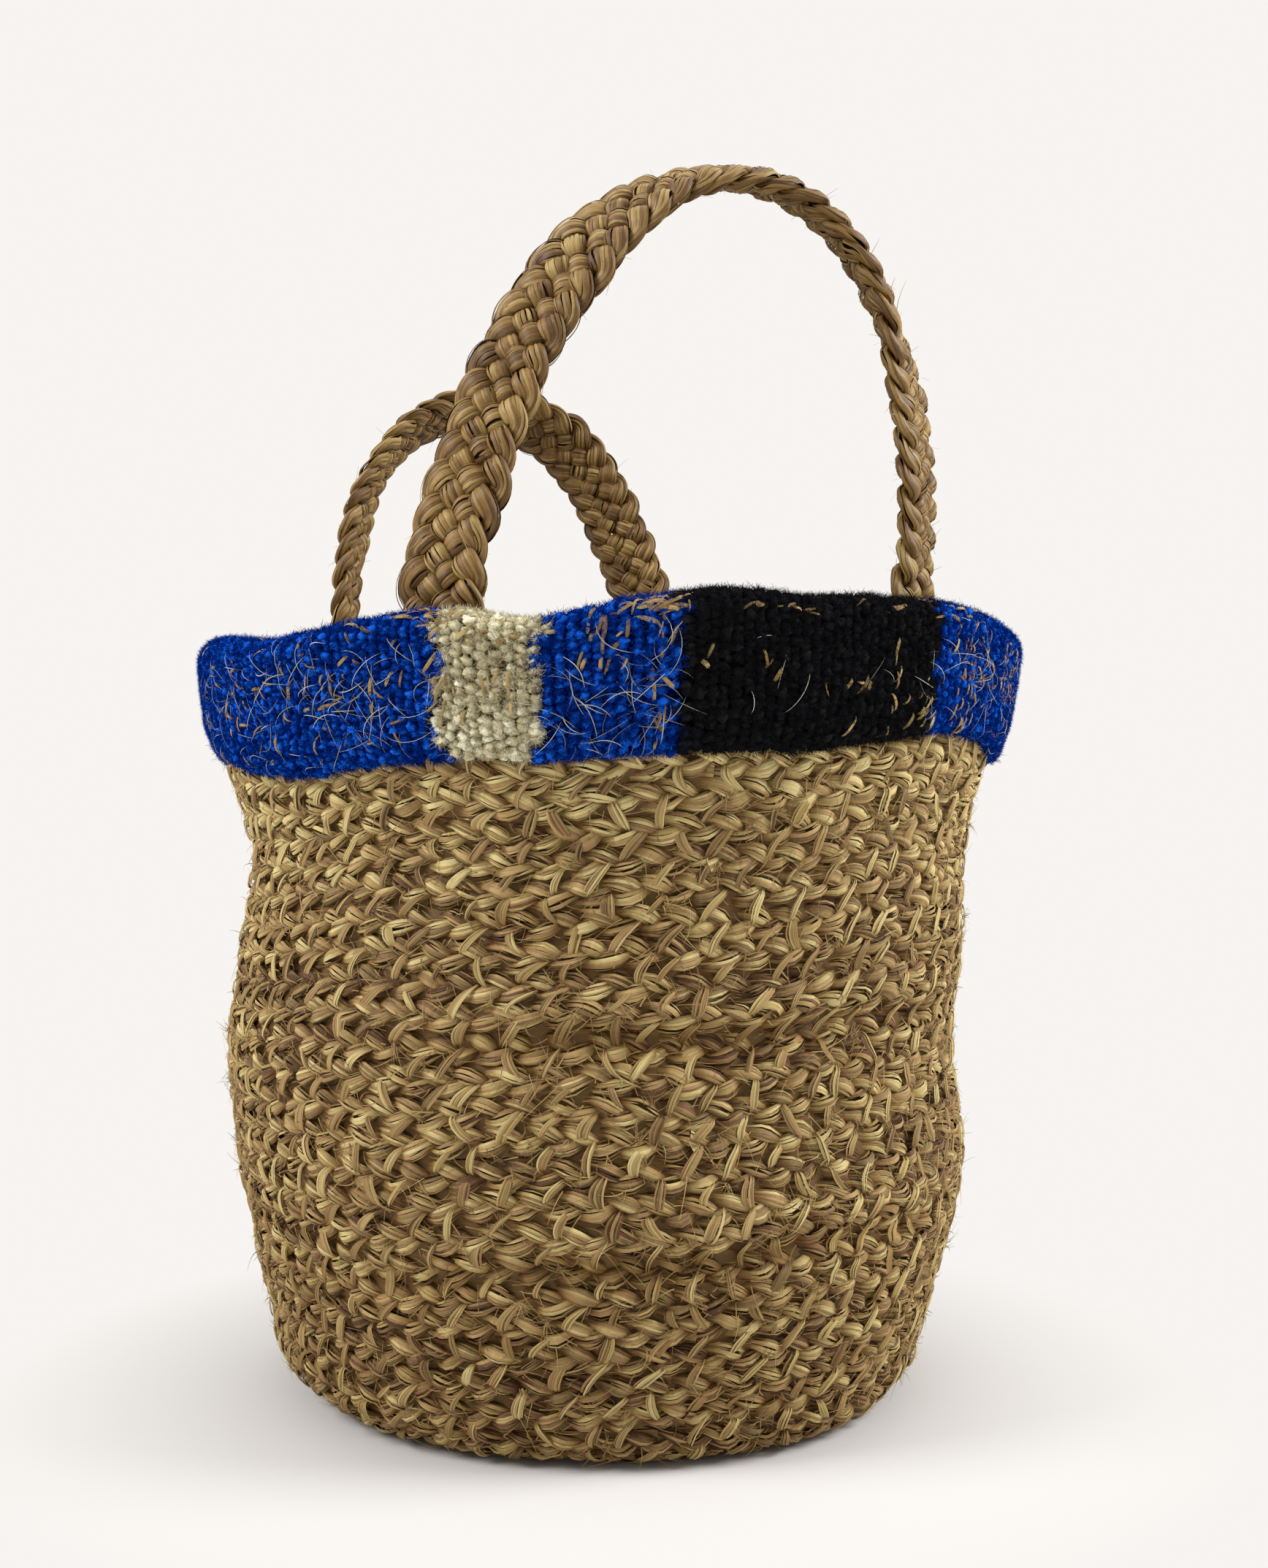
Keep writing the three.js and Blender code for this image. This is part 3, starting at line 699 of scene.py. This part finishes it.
def strap_hairs(rng, centre, run, side, lift, wide, thick):
    """Split ends that stand a little off a strand."""
    column = (STRAP_HAIRS, 1)
    spot = rng.integers(40, len(centre) - 40, STRAP_HAIRS)
    turn = rng.uniform(0, 2 * math.pi, column)
    cosine, sine = np.cos(turn), np.sin(turn)
    outward = side[spot] * cosine + lift[spot] * sine
    root = centre[spot] + side[spot] * wide[spot, None] * cosine + lift[spot] * thick[spot, None] * sine
    way = run[spot] * rng.choice([-1, 1], column) + outward * rng.uniform(0, 0.6, column)
    bend = outward * rng.normal(0, 0.3, column)
    length = rng.uniform(*STRAP_HAIR_LENGTH, column)
    aside = unit(np.cross(way, outward))
    tone = rng.uniform(0.4, 0.95, STRAP_HAIRS)
    return hairs(root, way, bend, length, aside, outward, STRAP_HAIR_HALF, 0.7, 5, tone, (0.8, 0), flat=True)


def strap_strand(rng, strap, number):
    """One of the five strands: its blades, a core painted dark as shade and its split ends."""
    distance, middle, width, face = strap
    place = distance / ROW_PITCH + 0.12 * wander(rng, distance, 0.03) + 2 * number
    column = round_table(COLUMNS, place) + 0.14 * wander(rng, distance, 0.02)
    height = round_table(HEIGHTS, place) * WEAVE_HEIGHT
    across = (column - 2) * COLUMN_PITCH
    centre = middle + width * across[:, None] + face * height[:, None]
    run = unit(np.gradient(centre, axis=0))
    lift = unit(face - run * (face * run).sum(axis=1)[:, None])
    side = np.cross(lift, run)
    near = np.abs(height) / WEAVE_HEIGHT
    wide = STRAND_WIDE * (0.84 + 0.22 * near) * (1 + 0.06 * wander(rng, distance, 0.02))
    thick = STRAND_THICK * (0.92 + 0.1 * near)
    drift = 0.14 * wander(rng, distance, 0.014)
    # The core fills the strand under its blades; its dark colour is painted shade.
    core_wide, core_thick = wide[None] * 0.85, thick[None] * 0.5
    core = ribbons(
        centre[None], side[None], lift[None], core_wide, core_thick, np.full(1, 0.1), 0 * core_wide
    )
    middle, tangent, normal, half, tone, keep, inside = bundle(
        rng, distance, centre, side, lift, wide, thick, drift, **STRAND_BLADES
    )
    # Painted shade: blades deeper in the weave are darker, less so towards the strap's edges.
    shade = (np.abs(height + inside) - STRAND_SHADE_FROM) / STRAND_SHADE_RANGE
    shade = np.maximum(shade, np.clip((np.abs(across) - EDGE_FROM) / EDGE_RANGE, 0, 0.8))
    split = strap_hairs(rng, centre, run, side, lift, wide, thick)
    return [ribbons(middle, tangent, normal, half, half * 0.35, tone, shade, keep), core, split]


def strap_stitch(rng, handle, side, drop):
    """A band of grass over the strap's end: out of the wall, across the strap and back in."""
    route = np.array(FOOT_STITCH_ROUTE)
    route = np.vstack([route, route[-2::-1] * (-1, 1)])
    spots = np.linspace(0, len(route) - 1, FOOT_STITCH_STATIONS)
    across, off = on_line(spots, np.arange(len(route)), route)
    rank = np.linspace(-1, 1, FOOT_STITCH_BLADES)[:, None]
    up = -drop + FOOT_STITCH_HALF * rank + 0.0004 * wander(rng, spots, 4, FOOT_STITCH_BLADES)
    across = across + 0.0003 * wander(rng, spots, 4, FOOT_STITCH_BLADES)
    off = off + 0.0003 * wander(rng, spots, 3, FOOT_STITCH_BLADES)
    run_out, run_up = section_run[-1]
    outward = handle["radius"] + up * run_out - off * run_up
    middle = np.stack([across, -outward, HINGE_HEIGHT + up * run_up + off * run_out], axis=-1)
    run = unit(np.gradient(middle, axis=1))
    aside = np.broadcast_to(np.array([0, -run_out, run_up]), run.shape)
    lift = np.cross(run, aside)
    half = np.full(up.shape, 0.00055)
    tone = np.clip(0.6 + 0.2 * rng.standard_normal(FOOT_STITCH_BLADES), 0, 0.999)
    angle = math.radians(handle["turn"] + side * handle["spread"])
    lines = (turned(line.reshape(-1, 3), angle, "z").reshape(line.shape) for line in (middle, aside, lift))
    return ribbons(*lines, half, half * 0.6, tone, np.full(up.shape, 0.8))


for seed, (name, handle) in enumerate(HANDLES.items()):
    strap = strap_line(handle)
    feet = [f"{name}_left_foot", f"{name}_right_foot"]
    reach = np.array([0, 0, BEND_REACH])
    for number in range(STRANDS):
        rng = np.random.default_rng(300 + 10 * seed + number)
        node = f"{name}_handle_strand_{number + 1}"
        parts = strap_strand(rng, strap, number)
        strand = piece(node + "_grass", parts, strap_grass, [node, *feet])
        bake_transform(strand)
    for side, word in ((-1, "left"), (1, "right")):
        for number, drop in enumerate(FOOT_STITCH_DROPS):
            node = f"{name}_{word}_stitch_{number + 1}"
            part = strap_stitch(np.random.default_rng(350 + seed), handle, side, drop)
            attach(piece(node + "_grass", [part], grass, [node]), "basket")


# The collar: fluffy wool yarn worked close over the rim in upright rows, in bands of blue, white and
# black. Dry grass from the plait underneath pokes out between the tufts.
# The collar's section, from its outer lower edge over the rim: how far above the rim, and off the wall.
COLLAR_LINE = [
    (-0.0555, 0.0046), (-0.056, 0.0062), (-0.0535, 0.0078), (-0.04, 0.0104), (-0.02, 0.011),
    (-0.002, 0.0108), (0.0022, 0.0088), (0.004, 0.005), (0.0034, 0), (0.0008, -0.0036),
]
COLLAR_BANDS = [
    ("cuff_blue_left", -147, "blue"), ("cuff_white_front", -33.5, "white"), ("cuff_blue_front", -21, "blue"),
    ("cuff_black_front", -5.3, "black"), ("cuff_blue_right", 32, "blue"), ("cuff_white_back", 146.5, "white"),
    ("cuff_blue_back", 159, "blue"), ("cuff_black_back", 174.7, "black"),
]
COLLAR_TURNS = [-180, -120, -92, -74, -55, -35, -27, -15, -5, 5, 15, 30, 40, 50, 62, 80, 120, 180]
COLLAR_LIFT = [
    0.006, 0.008, 0.017, 0.006, 0.001, 0.005, 0.008, 0.006, 0.004, 0.005, 0.0065, 0.0095, 0.013, 0.014, 0.01,
    0.008, 0.006, 0.006,
]
TUFTS = {
    "blue": {"column": 0.0044, "row": 0.0026, "size": (0.0024, 0.002, 0.0021), "hairs": 44, "soil": 0},
    "black": {"column": 0.0044, "row": 0.0026, "size": (0.0026, 0.0021, 0.0019), "hairs": 44, "soil": 0},
    "white": {"column": 0.0047, "row": 0.0036, "size": (0.0028, 0.0022, 0.0021), "hairs": 50, "soil": 0.55},
}
LUMPS = [(2.5, 0.09), (2.5, 0.09), (5, 0.08), (5, 0.08), (8, 0.05)]
SOIL_FAR, SOIL_REACH = 0.04, 0.015
EDGE_STEP, EDGE_ROWS = 0.004, 60
COLLAR_RADIUS = 0.176
CORE_DEPTH, CORE_ROWS, CORE_STEP = 0.0024, 24, 1.5
WOOL_HAIR_HALF, WOOL_HAIR_LENGTH = 0.00011, (0.0006, 0.0024)
# Each wool's ramp runs from painted shade, deep between the tufts, up to its colour on their tops.
WOOL_TONES = {
    "blue": [
        (0, (0.0004, 0.002, 0.018)), (0.4, (0.0008, 0.0064, 0.074)), (0.75, (0.0026, 0.037, 0.33)),
        (1, (0.012, 0.14, 0.78)),
    ],
    "white": [
        (0, (0.12, 0.07, 0.03)), (0.4, (0.41, 0.35, 0.2)), (0.75, (0.74, 0.68, 0.45)), (1, (0.92, 0.9, 0.69)),
    ],
    "black": [
        (0, (0.0013, 0.0012, 0.0013)), (0.4, (0.0068, 0.0069, 0.008)), (0.8, (0.0125, 0.0127, 0.0148)),
        (1, (0.018, 0.017, 0.018)),
    ],
}


def wool_finish(colour):
    material, start = new_finish("wool_" + colour)
    place, tone, depth = on_map(start)
    fluff = noise(place, (260, 60, 1), 3)
    # Painted shade: faces low on a tuft, by their depth on the map, come out darker.
    colour = ramp(WOOL_TONES[colour], depth + (tone - 0.5) * 0.35 + (fluff - 0.5) * 0.5)
    bump = place.node("ShaderNodeBump", {}, {"Strength": 0.6, "Distance": 0.001, "Height": fluff})
    inputs = {"Base Color": colour, "Roughness": 1, "Normal": bump, "Specular IOR Level": 0}
    return surface(material, start, inputs)


def grid_faces(rows, columns):
    """Four-cornered faces over a grid of corners."""
    grid = np.arange(rows * columns).reshape(rows, columns)
    return np.stack([grid[:-1, :-1], grid[1:, :-1], grid[1:, 1:], grid[:-1, 1:]], axis=-1).reshape(-1, 4)


def ball_grid(steps):
    """A round ball of four-cornered faces: directions and faces."""
    spots = np.tan(np.linspace(-1, 1, steps + 1) * math.pi / 4)
    first, second = np.meshgrid(spots, spots, indexing="ij")
    corners, faces = [], []
    square = grid_faces(steps + 1, steps + 1)
    for axis in range(3):
        for sign in (-1, 1):
            side = np.empty((steps + 1, steps + 1, 3))
            side[..., axis] = sign
            side[..., (axis + 1) % 3] = first
            side[..., (axis + 2) % 3] = second
            faces.append((square if sign > 0 else square[:, ::-1]) + len(corners) * (steps + 1) ** 2)
            corners.append(side.reshape(-1, 3))
    corners = unit(np.concatenate(corners))
    rounded, kept = np.unique(np.round(corners, 6), axis=0, return_inverse=True)
    return unit(rounded), kept.ravel()[np.concatenate(faces)]


ball_corners, ball_faces = ball_grid(3)

collar = np.array(COLLAR_LINE)
collar_steps = distances(collar)
COLLAR_REACH = collar_steps[-1]
COLLAR_DEPTH = -COLLAR_LINE[0][0]


def collar_place(angle, far):
    """A place on the collar's face and the directions there: round, along its section, and outwards."""
    across, off = on_line(far, collar_steps, collar)
    turn = (np.degrees(angle) + 180) % 360 - 180
    lift = np.interp(turn, COLLAR_TURNS, COLLAR_LIFT)
    across = np.where(across < 0, across * (1 - lift / COLLAR_DEPTH), across)
    run = on_line(far + 0.002, collar_steps, collar) - on_line(far - 0.002, collar_steps, collar)
    run_along, run_off = (run / np.hypot(*run))[..., None]
    course, up, out = wall_frame(angle, RIM_ALONG + across)
    point = wall_point(angle, RIM_ALONG + across, off)
    return point, course, up * run_along + out * run_off, out * run_along - up * run_off


def place_on_map(tone, shade):
    """Four places for each face: a small patch in the tone's column, at the depth that sets its painted
    shade.
    """
    column = (np.floor(tone * BLADE_TONES) + 0.15)[..., None]
    across = (column + np.array([0, 0.7, 0.7, 0])) / BLADE_TONES
    along = 0.03 + 0.9 * np.clip(shade, 0, 1)[..., None] + 0.02 * np.array([0, 0, 1, 1])
    return np.stack([across, along], axis=-1)


def tuft_places(rng, column, row):
    """Tufts in upright rows, every other row half a tuft higher: angles and distances up the section."""
    columns, rows = int(2 * math.pi * COLLAR_RADIUS / column), int(COLLAR_REACH / row)
    angle, far = np.meshgrid(np.arange(columns) / columns, np.arange(rows) / (rows - 1), indexing="ij")
    far = far + (np.arange(columns) % 2)[:, None] * 0.5 / (rows - 1)
    angle = angle * 2 * math.pi + rng.normal(0, 0.0028, angle.shape)
    far = far * COLLAR_REACH + rng.normal(0, 0.0006, far.shape)
    return angle.ravel(), far.clip(0, COLLAR_REACH).ravel()


def tuft_band(rng, angle, far):
    """The band that each tuft belongs to. A band's edge steps to and fro from row to row."""
    edge = rng.normal(0, 1.0, EDGE_ROWS)
    place = far / EDGE_STEP + 7 * np.round(np.degrees(angle) / 20)
    turn = np.degrees(angle) + edge[place.astype(int) % EDGE_ROWS] + rng.normal(0, 0.2, len(angle))
    starts = np.array([band[1] for band in COLLAR_BANDS])
    turn = (turn - starts[0]) % 360 + starts[0]
    return (np.searchsorted(starts, turn, side="right") - 1) % len(COLLAR_BANDS)


def tufts(rng, tuft, angle, far):
    """Lumpy balls of wool, set half into the collar's face: their middles, directions and mesh."""
    count = len(angle)
    point, course, along, out = collar_place(angle, far)
    lean = rng.normal(0, 0.35, count)[:, None]
    first = course * np.cos(lean) + along * np.sin(lean)
    second = along * np.cos(lean) - course * np.sin(lean)
    size = np.array(tuft["size"]) * rng.uniform(0.84, 1.18, (count, 3))
    centre = point - out * (size[:, 2:] * 0.55 - rng.normal(0, 0.0003, (count, 1)))
    lumps = 1 + rng.normal(0, 0.13, (count, len(ball_corners)))
    for reach, depth in LUMPS:
        wave = rng.normal(0, reach, (count, 3))
        lumps += depth * np.sin(ball_corners @ wave.T + rng.uniform(0, 6.28, count)).T
    shape = ball_corners[None] * size[:, None] * lumps[..., None]
    ways = enumerate((first, second, out))
    corners = centre[:, None] + sum(shape[..., k : k + 1] * way[:, None] for k, way in ways)
    faces = ball_faces[None] + np.arange(count)[:, None, None] * len(ball_corners)
    # Painted shade: faces lower on each tuft are given a darker place on the map.
    height = (shape[..., 2][:, ball_faces].mean(axis=2) / 0.0022 + 1) / 2
    soil = np.exp(-(((far - SOIL_FAR) / SOIL_REACH) ** 2)) * rng.uniform(0, 1, count)
    height = height - tuft["soil"] * soil[:, None]
    tone = np.repeat(rng.random(count)[:, None], len(ball_faces), axis=1)
    places = place_on_map(tone, height).reshape(-1, 4, 2)
    return centre, course, along, (corners.reshape(-1, 3), faces.reshape(-1, 4), places)


def wool_shade_sheet(start_angle, last_angle):
    """A sheet just under the tufts, painted dark as shade, so that nothing shows between them."""
    steps = max(int((last_angle - start_angle) / CORE_STEP), 3)
    angle = np.radians(np.linspace(start_angle, last_angle, steps))[:, None]
    far = np.linspace(0, COLLAR_REACH, CORE_ROWS)[None]
    point, _, _, out = collar_place(angle + 0 * far, far + 0 * angle)
    faces = grid_faces(steps, CORE_ROWS)
    places = place_on_map(np.full(len(faces), 0.4), np.full(len(faces), 0.12))
    return (point - out * CORE_DEPTH).reshape(-1, 3), faces, places


def wool_hairs(rng, count, angle, far, centre, course, along):
    """Short curved hairs standing off the tufts."""
    which = rng.integers(len(angle), size=count)
    spread = rng.normal(0, 0.9, (count, 2))
    stick = course[which] * spread[:, :1] + along[which] * spread[:, 1:]
    outward = collar_place(angle[which], far[which])[3]
    bend = course[which] * rng.normal(0, 0.8, (count, 1)) + along[which] * rng.normal(0, 0.8, (count, 1))
    root = centre[which] + (stick + outward) * 0.0016
    way = unit(stick * 0.8 + outward)
    length = rng.uniform(*WOOL_HAIR_LENGTH, (count, 1))
    side = unit(np.cross(way, bend), 1e-9)
    lift, tone = np.cross(side, way), rng.random(count)
    return hairs(
        root, way, bend * 0.6, length, side, lift, WOOL_HAIR_HALF, 0.7, 3, tone, (0.35, 0.5), flat=True
    )


rng = np.random.default_rng(500)
wools = {colour: wool_finish(colour) for colour in WOOL_TONES}
for band, (name, start_angle, colour) in enumerate(COLLAR_BANDS):
    tuft = TUFTS[colour]
    angle, far = tuft_places(rng, tuft["column"], tuft["row"])
    mine = tuft_band(np.random.default_rng(510), angle, far) == band
    angle, far = angle[mine], far[mine]
    centre, course, along, lumpy = tufts(rng, tuft, angle, far)
    following = (band + 1) % len(COLLAR_BANDS)
    last_angle = COLLAR_BANDS[following][1] + (0 if following else 360)
    core = wool_shade_sheet(start_angle, last_angle)
    fluff = wool_hairs(rng, len(angle) * tuft["hairs"], angle, far, centre, course, along)
    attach(piece(name + "_wool", [lumpy, core, fluff], wools[colour], [name]), "basket")


# Dry grass in the wool: short broken blades caught between the tufts, thickest where two colours meet
# and along the top, and long pale fibres that lie loosely over the wool.
# Each patch: its angle, its distance up the collar, the spreads of both, how many, and the way they lie.
STRAW_PATCHES = [
    (-62, 0.034, 11, 0.014, 40, None), (-45, 0.034, 6, 0.016, 26, None), (-33, 0.03, 1.0, 0.016, 12, 70),
    (-27, 0.034, 3, 0.006, 12, 80), (-27, 0.057, 4, 0.003, 14, None), (-14, 0.048, 4, 0.01, 16, 70),
    (-7.5, 0.036, 0.8, 0.016, 14, 85), (12, 0.03, 12, 0.016, 10, None), (13, 0.058, 14, 0.0015, 14, 10),
    (24, 0.028, 0.25, 0.015, 7, 90), (30, 0.018, 2, 0.006, 5, 60), (31, 0.018, 1, 0.014, 8, 80),
    (62, 0.034, 6, 0.015, 50, None), (40, 0.028, 1.4, 0.016, 44, 80), (50, 0.036, 7, 0.014, 60, None),
    (-36, 0.063, 6, 0.003, 22, 0), (36, 0.063, 5, 0.003, 18, 0), (-8, 0.06, 2.5, 0.002, 26, 0),
    (105, 0.03, 34, 0.016, 90, None), (-112, 0.03, 30, 0.016, 80, None), (170, 0.034, 18, 0.016, 40, None),
]
FIBRE_PATCHES = [
    (-60, 0.034, 12, 0.014, 90, None), (-43, 0.028, 6, 0.014, 34, None), (-14, 0.024, 5, 0.014, 46, None),
    (-8, 0.026, 2, 0.012, 16, None), (14, 0.036, 12, 0.014, 8, None), (46, 0.03, 8, 0.016, 60, None),
    (105, 0.03, 30, 0.016, 70, None), (-112, 0.03, 30, 0.016, 70, None), (170, 0.034, 18, 0.016, 40, None),
]
STRAW = {
    "lengths": (0.003, 0.011), "halves": (0.0003, 0.0009), "rise": (0.0006, 0.0016), "bend": 0.07,
    "tones": (0.25, 0.95), "stations": 7,
}
FIBRES = {
    "lengths": (0.007, 0.024), "halves": (0.00007, 0.00015), "rise": (0.0008, 0.0026), "bend": 0.16,
    "tones": (0, 0.999), "stations": 9,
}
FIBRE_TONES = [(0, (0.21, 0.21, 0.15)), (0.5, (0.38, 0.4, 0.34)), (1, (0.66, 0.68, 0.62))]


def scattered(rng, patches):
    """Places on the collar in loose patches: angles, distances along its section and ways they lie."""
    angle, far, way = [], [], []
    for middle, height, turn_spread, height_spread, count, lie in patches:
        angle.append(np.radians(middle + turn_spread * rng.standard_normal(count)))
        far.append(height + height_spread * rng.standard_normal(count))
        any_way = rng.uniform(0, 180, count)
        way.append(np.radians(any_way if lie is None else lie + 14 * rng.standard_normal(count)))
    angle, far, way = (np.concatenate(values) for values in (angle, far, way))
    return angle, np.clip(far, 0.004, COLLAR_REACH - 0.006), way


def loose_blades(rng, angle, far, way, lengths, halves, rise, bend, tones, stations):
    """Blades lying on the wool, each with its middle proud of it and its two ends sunk in."""
    count = len(angle)
    way = way[:, None]
    length = rng.uniform(*lengths, (count, 1))
    go = np.linspace(-0.5, 0.5, stations)
    curl = bend * rng.normal(0, 1, (count, 1)) * length * (4 * go**2 - 1)
    course = length * go * np.cos(way) - curl * np.sin(way)
    along = length * go * np.sin(way) + curl * np.cos(way)
    spot_far = np.clip(far[:, None] + along, 0.001, COLLAR_REACH - 0.001)
    spot_angle = angle[:, None] + course / COLLAR_RADIUS
    point, _, _, out = collar_place(spot_angle, spot_far)
    lift = rng.uniform(*rise, (count, 1)) * (1 - (2.1 * np.abs(go)) ** 3)
    middle = point + out * lift[..., None]
    side = unit(np.cross(unit(np.gradient(middle, axis=1)), out))
    half = rng.uniform(*halves, (count, 1)) * (1 - 0.5 * (2 * go) ** 4)
    return ribbons(middle, side, out, half, half * 0.5, rng.uniform(*tones, count), 0.7 + 0 * half)


rng = np.random.default_rng(600)
fibre_finish = grass_finish("pale_fibre", FIBRE_TONES, 0.6, 0.3)
straw = loose_blades(rng, *scattered(rng, STRAW_PATCHES), **STRAW)
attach(piece("cuff_straw", [straw], grass), "basket")
fibre = loose_blades(rng, *scattered(rng, FIBRE_PATCHES), **FIBRES)
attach(piece("cuff_fibres", [fibre], fibre_finish), "basket")


# Frayed grass: single hairs and small brushes of split ends that stand off the wall in every direction,
# where blades of the plait and of its sewing have split and worked loose.
HAIR_COUNT, INNER_HAIR_COUNT, BRUSH_COUNT, BRUSH_HAIRS = 9000, 900, 420, 12
HAIR_LENGTH, HAIR_HALF = (0.004, 0.012), (0.00012, 0.00026)
BRUSH_LENGTH, BRUSH_HALF = (0.003, 0.008), (0.00012, 0.00024)
HAIR_ROOT = 0.0036
COLLAR_DROP = 0.046


def hairs_on_wall(rng, angle, along, facing, length, lean, half):
    """Thin curved hairs rooted on the wall. lean is their way along the course, up and off the wall."""
    course, up, out = wall_frame(angle, along)
    root = wall_point(angle, along, HAIR_ROOT * facing)
    stray = rng.normal(0, 0.35, (len(angle), 3))
    way = unit(course * lean[:, :1] + up * lean[:, 1:2] + out * facing[:, None] * lean[:, 2:])
    bend = course * stray[:, :1] + up * stray[:, 1:2] - out * facing[:, None] * np.abs(stray[:, 2:])
    side = unit(np.cross(way, out))
    lift, tone = np.cross(side, way), rng.uniform(0.35, 0.95, len(angle))
    return hairs(root, way, bend, length, side, lift, half, 0.75, 6, tone, (0.45, 0.4))


rng = np.random.default_rng(700)
count = HAIR_COUNT + INNER_HAIR_COUNT
angle = rng.uniform(-math.pi, math.pi, count)
along = rng.uniform(0.13, RIM_ALONG - COLLAR_DROP, count)
facing = np.where(np.arange(count) < HAIR_COUNT, 1.0, -1.0)
lean = np.stack([rng.normal(0, 1, count), rng.normal(0, 0.7, count), rng.uniform(0, 0.3, count)], axis=1)
length, half = rng.uniform(*HAIR_LENGTH, (count, 1)), rng.uniform(*HAIR_HALF, (count, 1))
loose = hairs_on_wall(rng, angle, along, facing, length, lean, half)

count = BRUSH_COUNT * BRUSH_HAIRS
angle = np.repeat(rng.uniform(-math.pi, math.pi, BRUSH_COUNT), BRUSH_HAIRS)
along = np.repeat(rng.uniform(0.14, RIM_ALONG - COLLAR_DROP - 0.01, BRUSH_COUNT), BRUSH_HAIRS)
lean = np.repeat(rng.normal(0, 1, (BRUSH_COUNT, 2)), BRUSH_HAIRS, axis=0) + rng.normal(0, 0.5, (count, 2))
lean = np.concatenate([lean, rng.uniform(0.2, 0.9, (count, 1))], axis=1)
angle = angle + rng.normal(0, 0.0035, count)
along = along + rng.normal(0, 0.0006, count)
length, half = rng.uniform(*BRUSH_LENGTH, (count, 1)), rng.uniform(*BRUSH_HALF, (count, 1))
brushes = hairs_on_wall(rng, angle, along, np.ones(count), length, lean, half)

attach(piece("frayed_hairs", [loose], grass), "basket")
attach(piece("frayed_ends", [brushes], grass), "basket")


# Floor and light: a pale floor that keeps the basket's shadow and fades into the backdrop, and large
# soft lamps.
BACKDROP = (0.93, 0.905, 0.88)
FLOOR_COLOUR = (0.675, 0.66, 0.645)
FLOOR_SIZE = 6
FADE_FROM, FADE_TO = 0.13, 0.28
SKY_STRENGTH = 0.48
LAMPS = [
    ("left_lamp", (-1.6, -0.3, 1.3), 1.0, 33),
    ("right_lamp", (1.45, -0.65, 1.3), 1.0, 38),
    ("top_lamp", (0.1, 0.2, 2.2), 1.6, 12),
]
LAMP_AIM = (0, 0, 0.2)

floor_finish, start = new_finish("floor")
place = start.node("ShaderNodeTexCoord", {}, {}, "Object")
away = place.node("ShaderNodeVectorMath", {"operation": "LENGTH"}, {0: place}, "Value")
fade = place.node("ShaderNodeMapRange", {}, {"Value": away, "From Min": FADE_FROM, "From Max": FADE_TO})
seen = start.node("ShaderNodeLightPath", {}, {}, "Is Camera Ray")
lit = start.node("ShaderNodeBsdfDiffuse", {}, {"Color": (*FLOOR_COLOUR, 1)})
glow = start.node("ShaderNodeEmission", {}, {"Color": (*BACKDROP, 1), "Strength": 1})
both = start.node("ShaderNodeMixShader", {}, {0: fade * seen, 1: lit, 2: glow})
start.node("ShaderNodeOutputMaterial", {}, {"Surface": both})
floor_mesh = bpy.data.meshes.new("floor")
reach = FLOOR_SIZE / 2
corners = [(-reach, -reach, 0), (reach, -reach, 0), (reach, reach, 0), (-reach, reach, 0)]
floor_mesh.from_pydata(corners, [], [(0, 1, 2, 3)])
floor_mesh.materials.append(floor_finish)
floor = bpy.data.objects.new("floor", floor_mesh)
bpy.context.scene.collection.objects.link(floor)

world = bpy.data.worlds.new("studio")
world.use_nodes = True
world.node_tree.nodes.clear()
start = Field(world.node_tree)
seen = start.node("ShaderNodeLightPath", {}, {}, "Is Camera Ray")
dim = start.node("ShaderNodeBackground", {}, {"Color": (*BACKDROP, 1), "Strength": SKY_STRENGTH})
plain = start.node("ShaderNodeBackground", {}, {"Color": (*BACKDROP, 1), "Strength": 1})
both = start.node("ShaderNodeMixShader", {}, {0: seen, 1: dim, 2: plain})
start.node("ShaderNodeOutputWorld", {}, {"Surface": both})
bpy.context.scene.world = world

for name, place, size, power in LAMPS:
    light = bpy.data.lights.new(name, "AREA")
    light.shape = "DISK"
    light.size = size
    light.energy = power
    lamp = bpy.data.objects.new(name, light)
    lamp.location = place
    lamp.rotation_euler = (Vector(LAMP_AIM) - lamp.location).to_track_quat("-Z", "Y").to_euler()
    bpy.context.scene.collection.objects.link(lamp)
